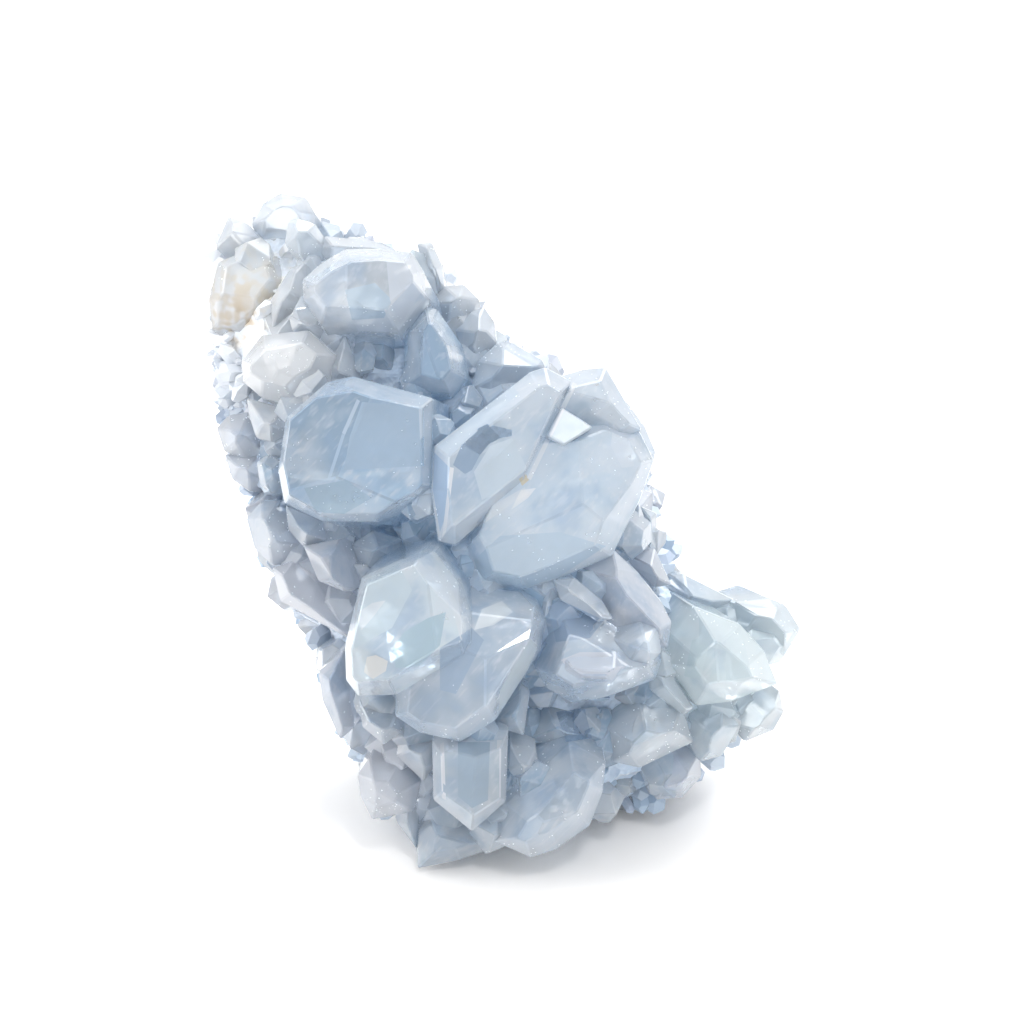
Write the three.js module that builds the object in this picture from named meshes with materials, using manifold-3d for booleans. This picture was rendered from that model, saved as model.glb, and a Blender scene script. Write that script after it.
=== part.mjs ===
// A celestite crystal cluster: one broken piece of a geode wall, on a crust of massive celestite,
// with stout blue crystals that grew out of it and through one another. It is one solid.
// Millimetres, +Z up, front towards -Y. It stands on a flat cut, with its growth face leaning back.
import * as THREE from "three";
import { mergeVertices } from "three/addons/utils/BufferGeometryUtils.js";
import Module from "manifold-3d";

const wasm = await Module();
wasm.setup();

// Driving dimensions
const FACE_HEIGHT = 108; // the growth face, from the foot's front corner to its top
const DRAWN_HEIGHT = 675; // the same height on the face drawing, in drawing units
const UNIT = FACE_HEIGHT / DRAWN_HEIGHT;
const LEAN = THREE.MathUtils.degToRad(25); // how far the growth face leans back
const DRAWN_FROM = 455; // the drawing is a view from this far off, so nearer things are drawn larger
const DRAWING_CENTRE = [512, 512];
const FOOT_CORNER = [490, 870]; // the drawing's point that is nothing across and nothing up
const HEART = [0, 58, -72]; // the crystals fan out from here: across, up, out
const ROOT = 9; // how far a crystal goes on behind the growth face

const radians = THREE.MathUtils.degToRad;
const vector = (across, up, out) => new THREE.Vector3(across, up, out);

// A point of the face drawing that is so far out from the growth face: across, up and out in mm.
function onFace([x, y], out) {
  const nearer = 1 - out / DRAWN_FROM;
  const [cx, cy] = DRAWING_CENTRE;
  return vector(
    (cx - FOOT_CORNER[0] + (x - cx) * nearer) * UNIT,
    (FOOT_CORNER[1] - cy + (cy - y) * nearer) * UNIT,
    out,
  );
}

// A direction: turn is counted from across towards up, tilt from straight out of the face.
function looking(turn, tilt) {
  const side = Math.sin(radians(tilt));
  return vector(side * Math.cos(radians(turn)), side * Math.sin(radians(turn)), Math.cos(radians(tilt)));
}

// A geometry whose triangles share their corners.
function solidCorners(geometry) {
  geometry.deleteAttribute("normal");
  geometry.deleteAttribute("uv");
  return mergeVertices(geometry, 1e-4);
}

// A closed geometry as a solid that can be cut and joined.
function solidOf(geometry) {
  const merged = solidCorners(geometry);
  const vertProperties = new Float32Array(merged.attributes.position.array);
  const triVerts = new Uint32Array(merged.index.array);
  return new wasm.Manifold(new wasm.Mesh({ numProp: 3, vertProperties, triVerts }));
}

// What is left of a solid behind a flat face, which is given by its outward normal and a point.
function cutTo(solid, [outward, point]) {
  return solid.trimByPlane(outward.clone().negate().toArray(), -outward.dot(point));
}

// A block round a point, cut to flat faces.
function cutBlock(centre, size, faces) {
  return faces.reduce(cutTo, solidOf(new THREE.BoxGeometry(size, size, size).translate(...centre)));
}

// A crystal seen from the front: its rim on the drawing and how far out the rim is, the slope of
// the crown face over each side of the rim, and the roof faces that cut across the crown.
// A roof is its turn, its tilt and its height over the rim's middle.
function frontCrystal({ rim, out, slopes, roofs }) {
  const points = rim.map((p) => onFace(p, out));
  const centre = points.reduce((sum, p) => sum.add(p), vector(0, 0, 0)).divideScalar(points.length);
  const axis = centre.clone().sub(vector(...HEART)).normalize();
  const faces = [];
  points.forEach((p, i) => {
    const along = points[(i + 1) % points.length].clone().sub(p);
    const side = along.clone().cross(axis).normalize();
    const outward = Math.sign(side.dot(p.clone().sub(centre)));
    faces.push([side.multiplyScalar(outward), p]);
    const flat = along.clone().cross(vector(0, 0, 1)).normalize().multiplyScalar(outward);
    const turn = THREE.MathUtils.radToDeg(Math.atan2(flat.y, flat.x));
    faces.push([looking(turn, slopes[i]), p]);
  });
  roofs.forEach(([turn, tilt, height]) => {
    faces.push([looking(turn, tilt), centre.clone().add(vector(0, 0, height))]);
  });
  faces.push([axis.clone().negate(), centre.clone().addScaledVector(axis, -(Math.max(out, 0) + ROOT))]);
  return cutBlock(centre, 120, faces);
}

// The stout crystals of the front, from the foot to the top of the face.
const FRONT = [
  // The hexagonal blue crystal, left of the middle
  {
    rim: [
      [286, 418], [327, 382], [352, 376], [433, 398], [432, 485],
      [418, 500], [378, 522], [322, 521], [284, 503], [278, 470],
    ],
    out: 16,
    slopes: [78, 66, 68, 72, 76, 74, 72, 72, 74, 78],
    roofs: [[158, 10, 6.4], [338, 9, 6.2], [268, 24, 7.7]],
  },
  // The great crystal: its left half, with a broad table and a bevel along its upper edge
  {
    rim: [[434, 446], [530, 372], [545, 367], [573, 382], [522, 490], [455, 545], [438, 541], [431, 490]],
    out: 18,
    slopes: [58, 58, 55, 78, 64, 58, 62, 62],
    roofs: [[128, 7, 5], [318, 9, 5.2]],
  },
  // Its right half, which runs down under the table's edge
  {
    rim: [
      [494, 478], [520, 420], [606, 410], [640, 432], [654, 460], [640, 500],
      [612, 556], [560, 578], [525, 590], [478, 583], [452, 530],
    ],
    out: 13,
    slopes: [78, 60, 62, 60, 64, 62, 66, 68, 70, 64, 78],
    roofs: [[140, 7, 8], [15, 24, 9.6], [285, 18, 8.6]],
  },
  // Its upper corner, with the mirror-bright face
  {
    rim: [[530, 440], [560, 376], [583, 369], [606, 367], [625, 400], [642, 430], [600, 446]],
    out: 15,
    slopes: [66, 66, 60, 62, 64, 60, 34],
    roofs: [[75, 14, 5]],
  },
  // The swell behind its right edge
  {
    rim: [[604, 402], [626, 400], [645, 426], [656, 452], [648, 482], [628, 502], [606, 470]],
    out: 7,
    slopes: [58, 68, 66, 68, 68, 66, 53],
    roofs: [[10, 22, 7]],
  },
  // The pale crystal that stands furthest out
  {
    rim: [
      [362, 576], [400, 560], [420, 551], [434, 551], [458, 582], [470, 614], [471, 642],
      [463, 656], [396, 695], [358, 696], [346, 680], [345, 645], [353, 612],
    ],
    out: 22,
    slopes: [80, 80, 78, 68, 80, 80, 78, 72, 72, 78, 80, 80, 80],
    roofs: [[150, 8, 8.6], [15, 34, 12]],
  },
  // The broad crystal behind it
  {
    rim: [
      [460, 585], [520, 592], [537, 602], [545, 620], [541, 650],
      [496, 720], [461, 742], [420, 733], [395, 716], [396, 660],
    ],
    out: 14,
    slopes: [58, 74, 74, 74, 70, 66, 68, 70, 68, 58],
    roofs: [[85, 20, 9], [325, 20, 8.8], [235, 14, 8.2]],
  },
  // The narrow crystal between that and the violet one
  {
    rim: [[528, 590], [550, 574], [560, 582], [560, 622], [553, 640], [538, 655], [530, 630]],
    out: 9,
    slopes: [58, 63, 68, 58, 63, 68, 58],
    roofs: [[180, 16, 5]],
  },
  // The long violet crystal right of the middle
  {
    rim: [[585, 570], [612, 548], [638, 572], [662, 602], [672, 622], [668, 648], [640, 650], [606, 622]],
    out: 11,
    slopes: [53, 63, 58, 64, 68, 63, 48, 53],
    roofs: [[45, 14, 6], [225, 20, 6.4]],
  },
  // The blade that leans on it
  {
    rim: [[554, 580], [575, 578], [602, 600], [613, 619], [598, 622], [560, 600]],
    out: 14,
    slopes: [63, 58, 53, 68, 58, 58],
    roofs: [[70, 12, 3]],
  },
  // The broad blue crystal under the violet one, with a lens-shaped step on it
  {
    rim: [
      [543, 640], [560, 606], [612, 618], [655, 640], [662, 660],
      [655, 680], [604, 698], [573, 703], [546, 688], [535, 668],
    ],
    out: 10,
    slopes: [68, 63, 58, 68, 72, 68, 66, 68, 72, 68],
    roofs: [[85, 14, 8.4], [265, 18, 8.6]],
  },
  {
    rim: [[558, 655], [580, 649], [615, 650], [632, 664], [612, 683], [580, 682], [560, 670]],
    out: 17,
    slopes: [58, 48, 53, 63, 68, 68, 58],
    roofs: [[250, 10, 3.4]],
  },
  {
    rim: [[615, 640], [640, 622], [658, 625], [662, 652], [648, 668], [625, 668]],
    out: 15,
    slopes: [58, 58, 64, 68, 58, 58],
    roofs: [[30, 18, 4.5]],
  },
  // The broad clear crystal near the top
  {
    rim: [
      [322, 262], [345, 249], [382, 248], [412, 252], [424, 272], [426, 297],
      [398, 332], [360, 331], [321, 326], [303, 300], [302, 280],
    ],
    out: 9,
    slopes: [68, 70, 70, 72, 74, 74, 76, 74, 70, 70, 68],
    roofs: [[18, 10, 7.2], [168, 16, 8.2], [275, 10, 8]],
  },
  // The deep blue crystals below it
  {
    rim: [[405, 330], [425, 304], [438, 310], [462, 345], [470, 380], [455, 402], [436, 400], [402, 388]],
    out: 4,
    slopes: [70, 70, 74, 72, 68, 70, 70, 68],
    roofs: [[20, 14, 8], [200, 16, 8.4]],
  },
  {
    rim: [[350, 332], [402, 330], [404, 362], [398, 384], [352, 378]],
    out: -2,
    slopes: [63, 58, 60, 56, 64],
    roofs: [[120, 12, 5]],
  },
  {
    rim: [[436, 400], [462, 380], [480, 392], [470, 420], [440, 442], [433, 436]],
    out: 3,
    slopes: [58, 63, 56, 64, 58, 60],
    roofs: [[30, 20, 6]],
  },
  // The frosted white crystal on the left, and the drop-shaped one below it
  {
    rim: [[262, 335], [308, 330], [336, 355], [327, 380], [296, 406], [262, 398], [243, 382], [241, 362]],
    out: 8,
    slopes: [68, 70, 72, 68, 68, 70, 72, 70],
    roofs: [[25, 16, 6.8], [205, 18, 7.2], [280, 20, 7.2]],
  },
  {
    rim: [[246, 398], [286, 408], [285, 430], [272, 442], [256, 438], [250, 420]],
    out: 6,
    slopes: [53, 64, 68, 58, 64, 60],
    roofs: [[190, 14, 4]],
  },
  {
    rim: [[326, 366], [345, 334], [352, 352], [353, 378], [330, 384]],
    out: 6,
    slopes: [58, 64, 58, 68, 60],
    roofs: [[140, 18, 4.5]],
  },
  // The left edge, from the frosted crystal down
  {
    rim: [[216, 428], [228, 415], [250, 411], [262, 430], [264, 452], [246, 460], [224, 452]],
    out: -2,
    slopes: [58, 54, 60, 64, 53, 62, 58],
    roofs: [[160, 18, 5]],
  },
  {
    rim: [[224, 454], [262, 452], [264, 480], [250, 492], [232, 480]],
    out: -3,
    slopes: [56, 63, 58, 54, 62],
    roofs: [[200, 16, 5]],
  },
  {
    rim: [[256, 462], [268, 454], [282, 462], [284, 484], [272, 494], [260, 486]],
    out: 7,
    slopes: [68, 58, 64, 58, 70, 63],
    roofs: [[170, 12, 2.5]],
  },
  {
    rim: [[246, 518], [262, 500], [280, 500], [300, 520], [302, 545], [286, 563], [272, 566], [254, 548]],
    out: 3,
    slopes: [64, 58, 56, 60, 64, 58, 66, 60],
    roofs: [[110, 14, 6], [270, 22, 6.4]],
  },
  {
    rim: [[285, 505], [322, 521], [326, 540], [304, 548], [288, 530]],
    out: 7,
    slopes: [53, 58, 64, 60, 58],
    roofs: [[300, 16, 3.6]],
  },
  {
    rim: [[303, 546], [340, 539], [348, 560], [356, 590], [345, 592], [318, 581]],
    out: 9,
    slopes: [58, 64, 56, 68, 72, 60],
    roofs: [[75, 20, 4]],
  },
  {
    rim: [[272, 568], [300, 558], [316, 582], [352, 616], [350, 640], [300, 612], [280, 601]],
    out: 4,
    slopes: [62, 54, 48, 68, 70, 66, 64],
    roofs: [[60, 20, 6], [230, 20, 6.4]],
  },
  // The gaps in the middle
  {
    rim: [[350, 545], [372, 530], [402, 540], [398, 562], [364, 574]],
    out: 5,
    slopes: [58, 64, 56, 60, 58],
    roofs: [[40, 18, 5]],
  },
  {
    rim: [[392, 528], [420, 505], [436, 520], [440, 545], [410, 552]],
    out: 4,
    slopes: [60, 58, 68, 56, 63],
    roofs: [[200, 20, 5]],
  },
  {
    rim: [[436, 546], [462, 548], [476, 584], [458, 582]],
    out: 9,
    slopes: [58, 60, 64, 56],
    roofs: [[150, 16, 4]],
  },
  // The foot: a clear prism, a broad block beside it, and the corner the specimen stands on
  {
    rim: [[432, 742], [446, 730], [478, 728], [508, 731], [506, 802], [472, 832], [433, 800]],
    out: 11,
    slopes: [58, 53, 48, 70, 64, 60, 68],
    roofs: [[352, 26, 5.2], [178, 10, 4.4]],
  },
  {
    rim: [
      [512, 785], [540, 753], [566, 740], [606, 762], [603, 792], [590, 826],
      [556, 850], [531, 858], [494, 842], [478, 830], [506, 803],
    ],
    out: 7,
    slopes: [58, 60, 58, 66, 64, 60, 58, 64, 68, 58, 58],
    roofs: [[70, 8, 6.5], [215, 18, 7.2], [300, 24, 7.6]],
  },
  {
    rim: [[418, 832], [432, 805], [500, 836], [505, 845], [460, 860], [417, 869]],
    out: 1.5,
    slopes: [70, 53, 58, 58, 58, 56],
    roofs: [[300, 12, 4]],
  },
  {
    rim: [[372, 790], [420, 790], [418, 834], [416, 869], [399, 846], [396, 822]],
    out: 0,
    slopes: [58, 64, 68, 58, 60, 64],
    roofs: [[190, 14, 4]],
  },
  {
    rim: [[357, 775], [370, 757], [400, 760], [421, 782], [414, 812], [372, 820], [360, 796]],
    out: 3,
    slopes: [64, 58, 56, 60, 64, 68, 62],
    roofs: [[60, 22, 5.4], [240, 22, 5.8]],
  },
  {
    rim: [[358, 700], [396, 716], [402, 732], [384, 745], [362, 727]],
    out: 10,
    slopes: [56, 64, 58, 62, 66],
    roofs: [[250, 14, 3.8]],
  },
  {
    rim: [[318, 672], [345, 650], [350, 690], [356, 726], [340, 740], [322, 700]],
    out: 5,
    slopes: [63, 56, 58, 64, 62, 66],
    roofs: [[180, 20, 5]],
  },
  {
    rim: [[400, 730], [440, 736], [438, 762], [424, 782], [396, 756]],
    out: 6,
    slopes: [58, 60, 68, 58, 62],
    roofs: [[230, 16, 4.4]],
  },
  // Between the foot and the broad blue crystal
  {
    rim: [[492, 718], [520, 684], [530, 692], [524, 736], [505, 730]],
    out: 8,
    slopes: [64, 58, 68, 60, 58],
    roofs: [[30, 20, 4]],
  },
  {
    rim: [[522, 742], [545, 705], [575, 712], [590, 738], [560, 745]],
    out: 2,
    slopes: [58, 62, 56, 64, 60],
    roofs: [[90, 16, 6]],
  },
  {
    rim: [[510, 745], [536, 748], [540, 772], [520, 786], [508, 770]],
    out: 6,
    slopes: [58, 66, 60, 58, 64],
    roofs: [[60, 20, 4]],
  },
  // The right arm: a ribbed green-blue crystal, the clear tip behind it, and the blocks below
  {
    rim: [[668, 665], [672, 636], [694, 606], [740, 624], [764, 650], [778, 684], [730, 702], [696, 706]],
    out: 4,
    slopes: [64, 58, 54, 58, 62, 68, 64, 66],
    roofs: [[170, 18, 8.5], [20, 14, 8.2]],
  },
  {
    rim: [[712, 612], [735, 601], [770, 598], [786, 605], [801, 629], [780, 664], [756, 660], [745, 632]],
    out: -4,
    slopes: [64, 60, 68, 58, 62, 66, 60, 53],
    roofs: [[35, 18, 7], [200, 20, 7.6]],
  },
  {
    rim: [[672, 576], [684, 574], [735, 600], [705, 614], [675, 614]],
    out: -5,
    slopes: [58, 62, 66, 58, 60],
    roofs: [[60, 20, 6]],
  },
  {
    rim: [[742, 700], [780, 690], [784, 712], [774, 730], [745, 742], [728, 722]],
    out: -6,
    slopes: [58, 66, 60, 68, 62, 58],
    roofs: [[340, 16, 6]],
  },
  {
    rim: [[606, 728], [640, 700], [682, 706], [694, 742], [640, 768], [612, 762]],
    out: 2,
    slopes: [60, 56, 64, 58, 66, 62],
    roofs: [[100, 12, 6.5], [290, 20, 7]],
  },
  {
    rim: [[690, 716], [722, 702], [740, 726], [722, 756], [700, 762], [688, 742]],
    out: -2,
    slopes: [58, 62, 58, 68, 62, 58],
    roofs: [[300, 20, 5.4]],
  },
  {
    rim: [[648, 768], [672, 748], [700, 750], [702, 776], [682, 798], [656, 800]],
    out: -5,
    slopes: [60, 58, 64, 68, 62, 66],
    roofs: [[120, 12, 5.5]],
  },
  {
    rim: [[650, 672], [668, 668], [694, 708], [684, 716], [652, 692]],
    out: 4,
    slopes: [63, 58, 68, 58, 60],
    roofs: [[45, 14, 3.6]],
  },
  // The grey crystals on the right shoulder
  {
    rim: [[618, 552], [612, 535], [640, 504], [652, 538], [642, 545]],
    out: 4,
    slopes: [58, 58, 66, 58, 64],
    roofs: [[140, 20, 4.4]],
  },
  {
    rim: [[638, 505], [660, 514], [668, 530], [657, 548], [657, 570], [640, 560], [640, 540]],
    out: -1,
    slopes: [62, 66, 58, 68, 60, 58, 58],
    roofs: [[20, 18, 5]],
  },
  {
    rim: [[622, 552], [655, 548], [672, 585], [655, 588], [634, 568]],
    out: 3,
    slopes: [53, 62, 64, 66, 58],
    roofs: [[40, 16, 4]],
  },
  // The upper right edge, from the great crystal to the top
  {
    rim: [[470, 390], [478, 360], [498, 342], [512, 342], [543, 360], [546, 368], [520, 386], [490, 400]],
    out: 2,
    slopes: [58, 62, 66, 58, 64, 68, 60, 58],
    roofs: [[60, 22, 6.5], [230, 14, 6.8]],
  },
  {
    rim: [[455, 330], [470, 312], [484, 306], [495, 322], [497, 342], [478, 360], [462, 352]],
    out: -1,
    slopes: [58, 63, 60, 68, 58, 62, 58],
    roofs: [[40, 16, 5.5]],
  },
  {
    rim: [[428, 303], [444, 286], [464, 284], [480, 300], [466, 322], [448, 324]],
    out: -2,
    slopes: [58, 64, 66, 60, 58, 62],
    roofs: [[60, 18, 5.5]],
  },
  {
    rim: [[403, 251], [412, 243], [432, 242], [442, 264], [445, 288], [430, 302], [424, 275]],
    out: -2,
    slopes: [62, 66, 64, 68, 60, 58, 56],
    roofs: [[30, 20, 5.6]],
  },
  {
    rim: [[318, 250], [328, 226], [345, 226], [376, 241], [395, 243], [392, 262], [330, 264]],
    out: -1,
    slopes: [58, 64, 66, 62, 58, 54, 58],
    roofs: [[75, 18, 6]],
  },
  // The top of the crust
  {
    rim: [[251, 225], [263, 203], [280, 193], [306, 197], [315, 214], [312, 236], [262, 240]],
    out: -7,
    slopes: [62, 64, 66, 62, 64, 58, 56],
    roofs: [[70, 16, 6], [150, 20, 6.6]],
  },
  {
    rim: [[284, 244], [288, 222], [298, 218], [316, 224], [318, 242], [300, 256]],
    out: 2,
    slopes: [60, 64, 58, 66, 62, 58],
    roofs: [[100, 16, 4]],
  },
  {
    rim: [[215, 248], [228, 216], [246, 222], [262, 238], [250, 252]],
    out: -6,
    slopes: [62, 66, 58, 60, 58],
    roofs: [[130, 18, 5]],
  },
  {
    rim: [[270, 300], [290, 268], [305, 262], [306, 300], [286, 318], [272, 330]],
    out: 2,
    slopes: [58, 62, 58, 64, 60, 58],
    roofs: [[200, 20, 6]],
  },
  {
    rim: [[288, 316], [306, 310], [322, 324], [316, 334], [292, 332]],
    out: 6,
    slopes: [58, 60, 66, 68, 60],
    roofs: [[100, 16, 3.4]],
  },
];

// The crust: massive celestite that the crystals grew on, a pillow as wide as this outline.
const CRUST_MIDDLE = [470, 570];
const CRUST_OUTLINE = [
  [214, 290], [222, 258], [238, 236], [262, 222], [292, 216], [322, 228], [352, 242], [385, 252],
  [415, 262], [440, 288], [462, 312], [490, 338], [520, 358], [552, 378], [590, 400], [622, 428],
  [640, 462], [645, 500], [652, 538], [672, 574], [705, 602], [736, 632], [756, 664], [758, 700],
  [736, 730], [704, 756], [672, 780], [640, 800], [606, 812], [570, 826], [530, 838], [490, 844],
  [450, 846], [418, 838], [398, 812], [378, 780], [358, 740], [342, 700], [330, 662], [312, 624],
  [290, 588], [272, 548], [256, 506], [244, 462], [232, 420], [218, 382], [206, 344], [204, 316],
];
const CRUST_RIM = -15; // how far out the pillow's rim lies from the growth face
const CRUST_FRONT = 4; // how far out its front reaches
const CRUST_BACK = -37; // and its back, both before the foot and the top are counted
const FOOT_DEEPER = 1.22; // the crust is thicker than that at the foot
const TOP_THINNER = 0.74; // and thinner at the top
const CRUST_CORNERS = 8; // how finely the crust is faceted
const LUMPS = 1.9; // how far the crust's corners stray, in mm
// Where the geode wall broke: a point on the drawing, how far out, and the break's turn and lean.
const BREAKS = [
  [[520, 560], -38, 300, 174],
  [[400, 420], -31, 80, 166],
  [[290, 470], -27, 170, 144],
  [[640, 740], -38, 330, 150],
  [[430, 770], -41, 250, 146],
  [[570, 470], -30, 40, 140],
  [[262, 262], -20, 110, 135],
];

// The same sequence of chances each time, so that the specimen is always the same one.
function chances(seed) {
  let state = seed;
  return (low, high) => {
    state = (state + 0x6d2b79f5) | 0;
    let mixed = Math.imul(state ^ (state >>> 15), 1 | state);
    mixed = (mixed + Math.imul(mixed ^ (mixed >>> 7), 61 | mixed)) ^ mixed;
    return low + (((mixed ^ (mixed >>> 14)) >>> 0) / 4294967296) * (high - low);
  };
}

// How much thicker or thinner the crust is at a height on the drawing.
function thickness(y) {
  const top = FOOT_CORNER[1] - DRAWN_HEIGHT;
  return THREE.MathUtils.mapLinear(y, top, FOOT_CORNER[1], TOP_THINNER, FOOT_DEEPER);
}

// How far the crust's outline is from its middle in a direction, in drawing units.
function outlineReach(turn) {
  const [mx, my] = CRUST_MIDDLE;
  const [c, s] = [Math.cos(turn), -Math.sin(turn)];
  const reaches = CRUST_OUTLINE.map(([ax, ay], i) => {
    const [bx, by] = CRUST_OUTLINE[(i + 1) % CRUST_OUTLINE.length];
    const cross = c * (by - ay) - s * (bx - ax);
    const along = ((ax - mx) * s - (ay - my) * c) / cross;
    const reach = ((ax - mx) * (by - ay) - (ay - my) * (bx - ax)) / cross;
    return along >= 0 && along <= 1 && reach > 0 ? reach : 0;
  });
  return Math.max(...reaches);
}

// The pillow is a ball pressed out to the outline, with straying corners and flat breaks behind.
function crust() {
  const chance = chances(11);
  const ball = solidCorners(new THREE.IcosahedronGeometry(1, CRUST_CORNERS));
  const { position } = ball.attributes;
  const [mx, my] = CRUST_MIDDLE;
  for (let i = 0; i < position.count; i += 1) {
    const on = vector(0, 0, 0).fromBufferAttribute(position, i);
    const turn = Math.atan2(on.y, on.x);
    const reach = outlineReach(turn) * Math.hypot(on.x, on.y) ** 0.6;
    const drawn = [mx + Math.cos(turn) * reach, my - Math.sin(turn) * reach];
    const out = THREE.MathUtils.lerp(CRUST_RIM, on.z > 0 ? CRUST_FRONT : CRUST_BACK, Math.abs(on.z) ** 0.7);
    const corner = onFace(drawn, out < 0 ? out * thickness(drawn[1]) : out);
    const stray = vector(chance(-LUMPS, LUMPS), chance(-LUMPS, LUMPS), chance(-LUMPS, LUMPS));
    position.setXYZ(i, ...corner.add(stray));
  }
  const breaks = BREAKS.map(([at, out, turn, lean]) => [looking(turn, lean), onFace(at, out)]);
  return breaks.reduce(cutTo, solidOf(ball));
}

// A celestite crystal grown outward from the crust: a lozenge prism with two side faces and a
// blunt wedge for a tip. Its root is on the crust, its axis points out of it, and roll turns it.
const PRISM_TURNS = [38, 142, 218, 322]; // the four faces of the lozenge prism
const TIP_SLOPES = [46, 50, 42, 52]; // and the slopes of the tip over them
const TIP_SHARE = 0.12; // how far from the axis they meet the tip, against the crystal's width
const SIDE_TURNS = [90, 270]; // the two side faces
const SIDE_SHARE = 0.46; // and how far from the axis they cut the lozenge, against its width
const SUNK = 3; // how far its root goes into the crust

function grownCrystal({ root, axis, roll, length, width }) {
  const across = axis.clone().cross(Math.abs(axis.z) > 0.8 ? vector(1, 0, 0) : vector(0, 0, 1)).normalize();
  const other = axis.clone().cross(across);
  const around = (turn) => {
    const angle = radians(turn + roll);
    return across.clone().multiplyScalar(Math.cos(angle)).addScaledVector(other, Math.sin(angle));
  };
  const tip = root.clone().addScaledVector(axis, length);
  const faces = [];
  PRISM_TURNS.forEach((turn, i) => {
    const outward = around(turn);
    faces.push([outward, root.clone().addScaledVector(outward, width * 0.5)]);
    const slope = radians(TIP_SLOPES[i]);
    const cap = outward.clone().multiplyScalar(Math.sin(slope)).addScaledVector(axis, Math.cos(slope));
    faces.push([cap, tip.clone().addScaledVector(outward, width * TIP_SHARE)]);
  });
  SIDE_TURNS.forEach((turn) => {
    faces.push([around(turn), root.clone().addScaledVector(around(turn), width * SIDE_SHARE)]);
  });
  faces.push([axis.clone().negate(), root.clone().addScaledVector(axis, -SUNK)]);
  return cutBlock(root.clone().addScaledVector(axis, length / 2), 60, faces);
}

// The druse: small crystals in rows round the crust's edge, each row further back than the last.
// A row is how far out it lies, its size against the outline, its lean outwards, and its sizes.
const DRUSE_ROWS = [
  { out: -5, size: 0.92, lean: 46, spacing: 2, length: [4, 6.5], width: [5, 7.5] },
  { out: -14, size: 0.95, lean: 80, spacing: 2, length: [2, 4.5], width: [5, 8] },
  { out: -23, size: 0.94, lean: 108, spacing: 3, length: [2.5, 5], width: [5, 8] },
];
const BARE = [0, 1, 44, 45, 46, 47]; // corners of the outline where the crust broke off bare

function druse() {
  const chance = chances(29);
  const [mx, my] = CRUST_MIDDLE;
  const middle = onFace(CRUST_MIDDLE, 0);
  return DRUSE_ROWS.flatMap(({ out, size, lean, spacing, length, width }, row) =>
    CRUST_OUTLINE.filter((_, i) => i % spacing === row % spacing && !BARE.includes(i)).map(([x, y]) => {
      const drawn = [mx + (x - mx) * size, my + (y - my) * size];
      const root = onFace(drawn, out * thickness(drawn[1]));
      const away = root.clone().sub(middle);
      const turn = THREE.MathUtils.radToDeg(Math.atan2(away.y, away.x)) + chance(-25, 25);
      return grownCrystal({
        root,
        axis: looking(turn, lean + chance(-16, 16)),
        roll: chance(0, 180),
        length: chance(...length),
        width: chance(...width),
      });
    }),
  );
}

// Grown together they are one solid, with no hollow shut in where crystals meet over a gap.
const grown = wasm.Manifold.union([crust(), ...FRONT.map(frontCrystal), ...druse()]);
const cluster = grown.decompose().reduce((most, part) => (part.volume() > most.volume() ? part : most));

// Stand the leaning face up in the part's own frame.
const stand = new THREE.Matrix4().makeBasis(
  new THREE.Vector3(1, 0, 0),
  new THREE.Vector3(0, Math.sin(LEAN), Math.cos(LEAN)),
  new THREE.Vector3(0, -Math.cos(LEAN), Math.sin(LEAN)),
);
const cut = cluster.transform(stand.elements).trimByPlane([0, 0, 1], 0);
const { min, max } = cut.boundingBox();
const { vertProperties, triVerts } = cut.getMesh();
const geometry = new THREE.BufferGeometry()
  .setAttribute("position", new THREE.BufferAttribute(vertProperties, 3))
  .setIndex(new THREE.BufferAttribute(triVerts, 1));

const celestite = new THREE.MeshStandardMaterial({ color: 0xb4c9dc, roughness: 0.2, metalness: 0 });
const specimen = new THREE.Mesh(geometry, celestite);
specimen.name = "celestite_cluster";
specimen.position.set(-(min[0] + max[0]) / 2, -(min[1] + max[1]) / 2, 0);

const group = new THREE.Group();
group.add(specimen);
export default group;
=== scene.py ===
import math

import bpy
from mathutils import Matrix, Vector
from mathutils.bvhtree import BVHTree


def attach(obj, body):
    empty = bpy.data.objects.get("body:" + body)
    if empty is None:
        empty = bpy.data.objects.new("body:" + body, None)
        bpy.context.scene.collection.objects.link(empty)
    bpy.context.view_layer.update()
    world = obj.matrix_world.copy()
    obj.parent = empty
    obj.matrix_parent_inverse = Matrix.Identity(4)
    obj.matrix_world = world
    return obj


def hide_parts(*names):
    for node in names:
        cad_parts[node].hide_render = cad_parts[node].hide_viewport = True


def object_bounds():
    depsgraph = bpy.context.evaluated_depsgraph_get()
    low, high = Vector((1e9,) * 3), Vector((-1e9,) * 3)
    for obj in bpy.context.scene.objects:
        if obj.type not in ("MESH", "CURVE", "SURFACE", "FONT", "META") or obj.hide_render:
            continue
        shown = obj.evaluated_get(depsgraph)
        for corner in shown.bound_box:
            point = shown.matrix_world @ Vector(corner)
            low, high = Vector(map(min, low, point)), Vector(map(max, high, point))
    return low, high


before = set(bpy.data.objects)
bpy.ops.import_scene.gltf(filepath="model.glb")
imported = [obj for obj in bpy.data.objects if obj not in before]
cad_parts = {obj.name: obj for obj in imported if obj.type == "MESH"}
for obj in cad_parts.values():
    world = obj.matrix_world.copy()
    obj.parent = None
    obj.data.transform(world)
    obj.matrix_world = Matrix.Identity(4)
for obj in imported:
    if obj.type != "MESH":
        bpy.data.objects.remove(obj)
cad_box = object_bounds()

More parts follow.
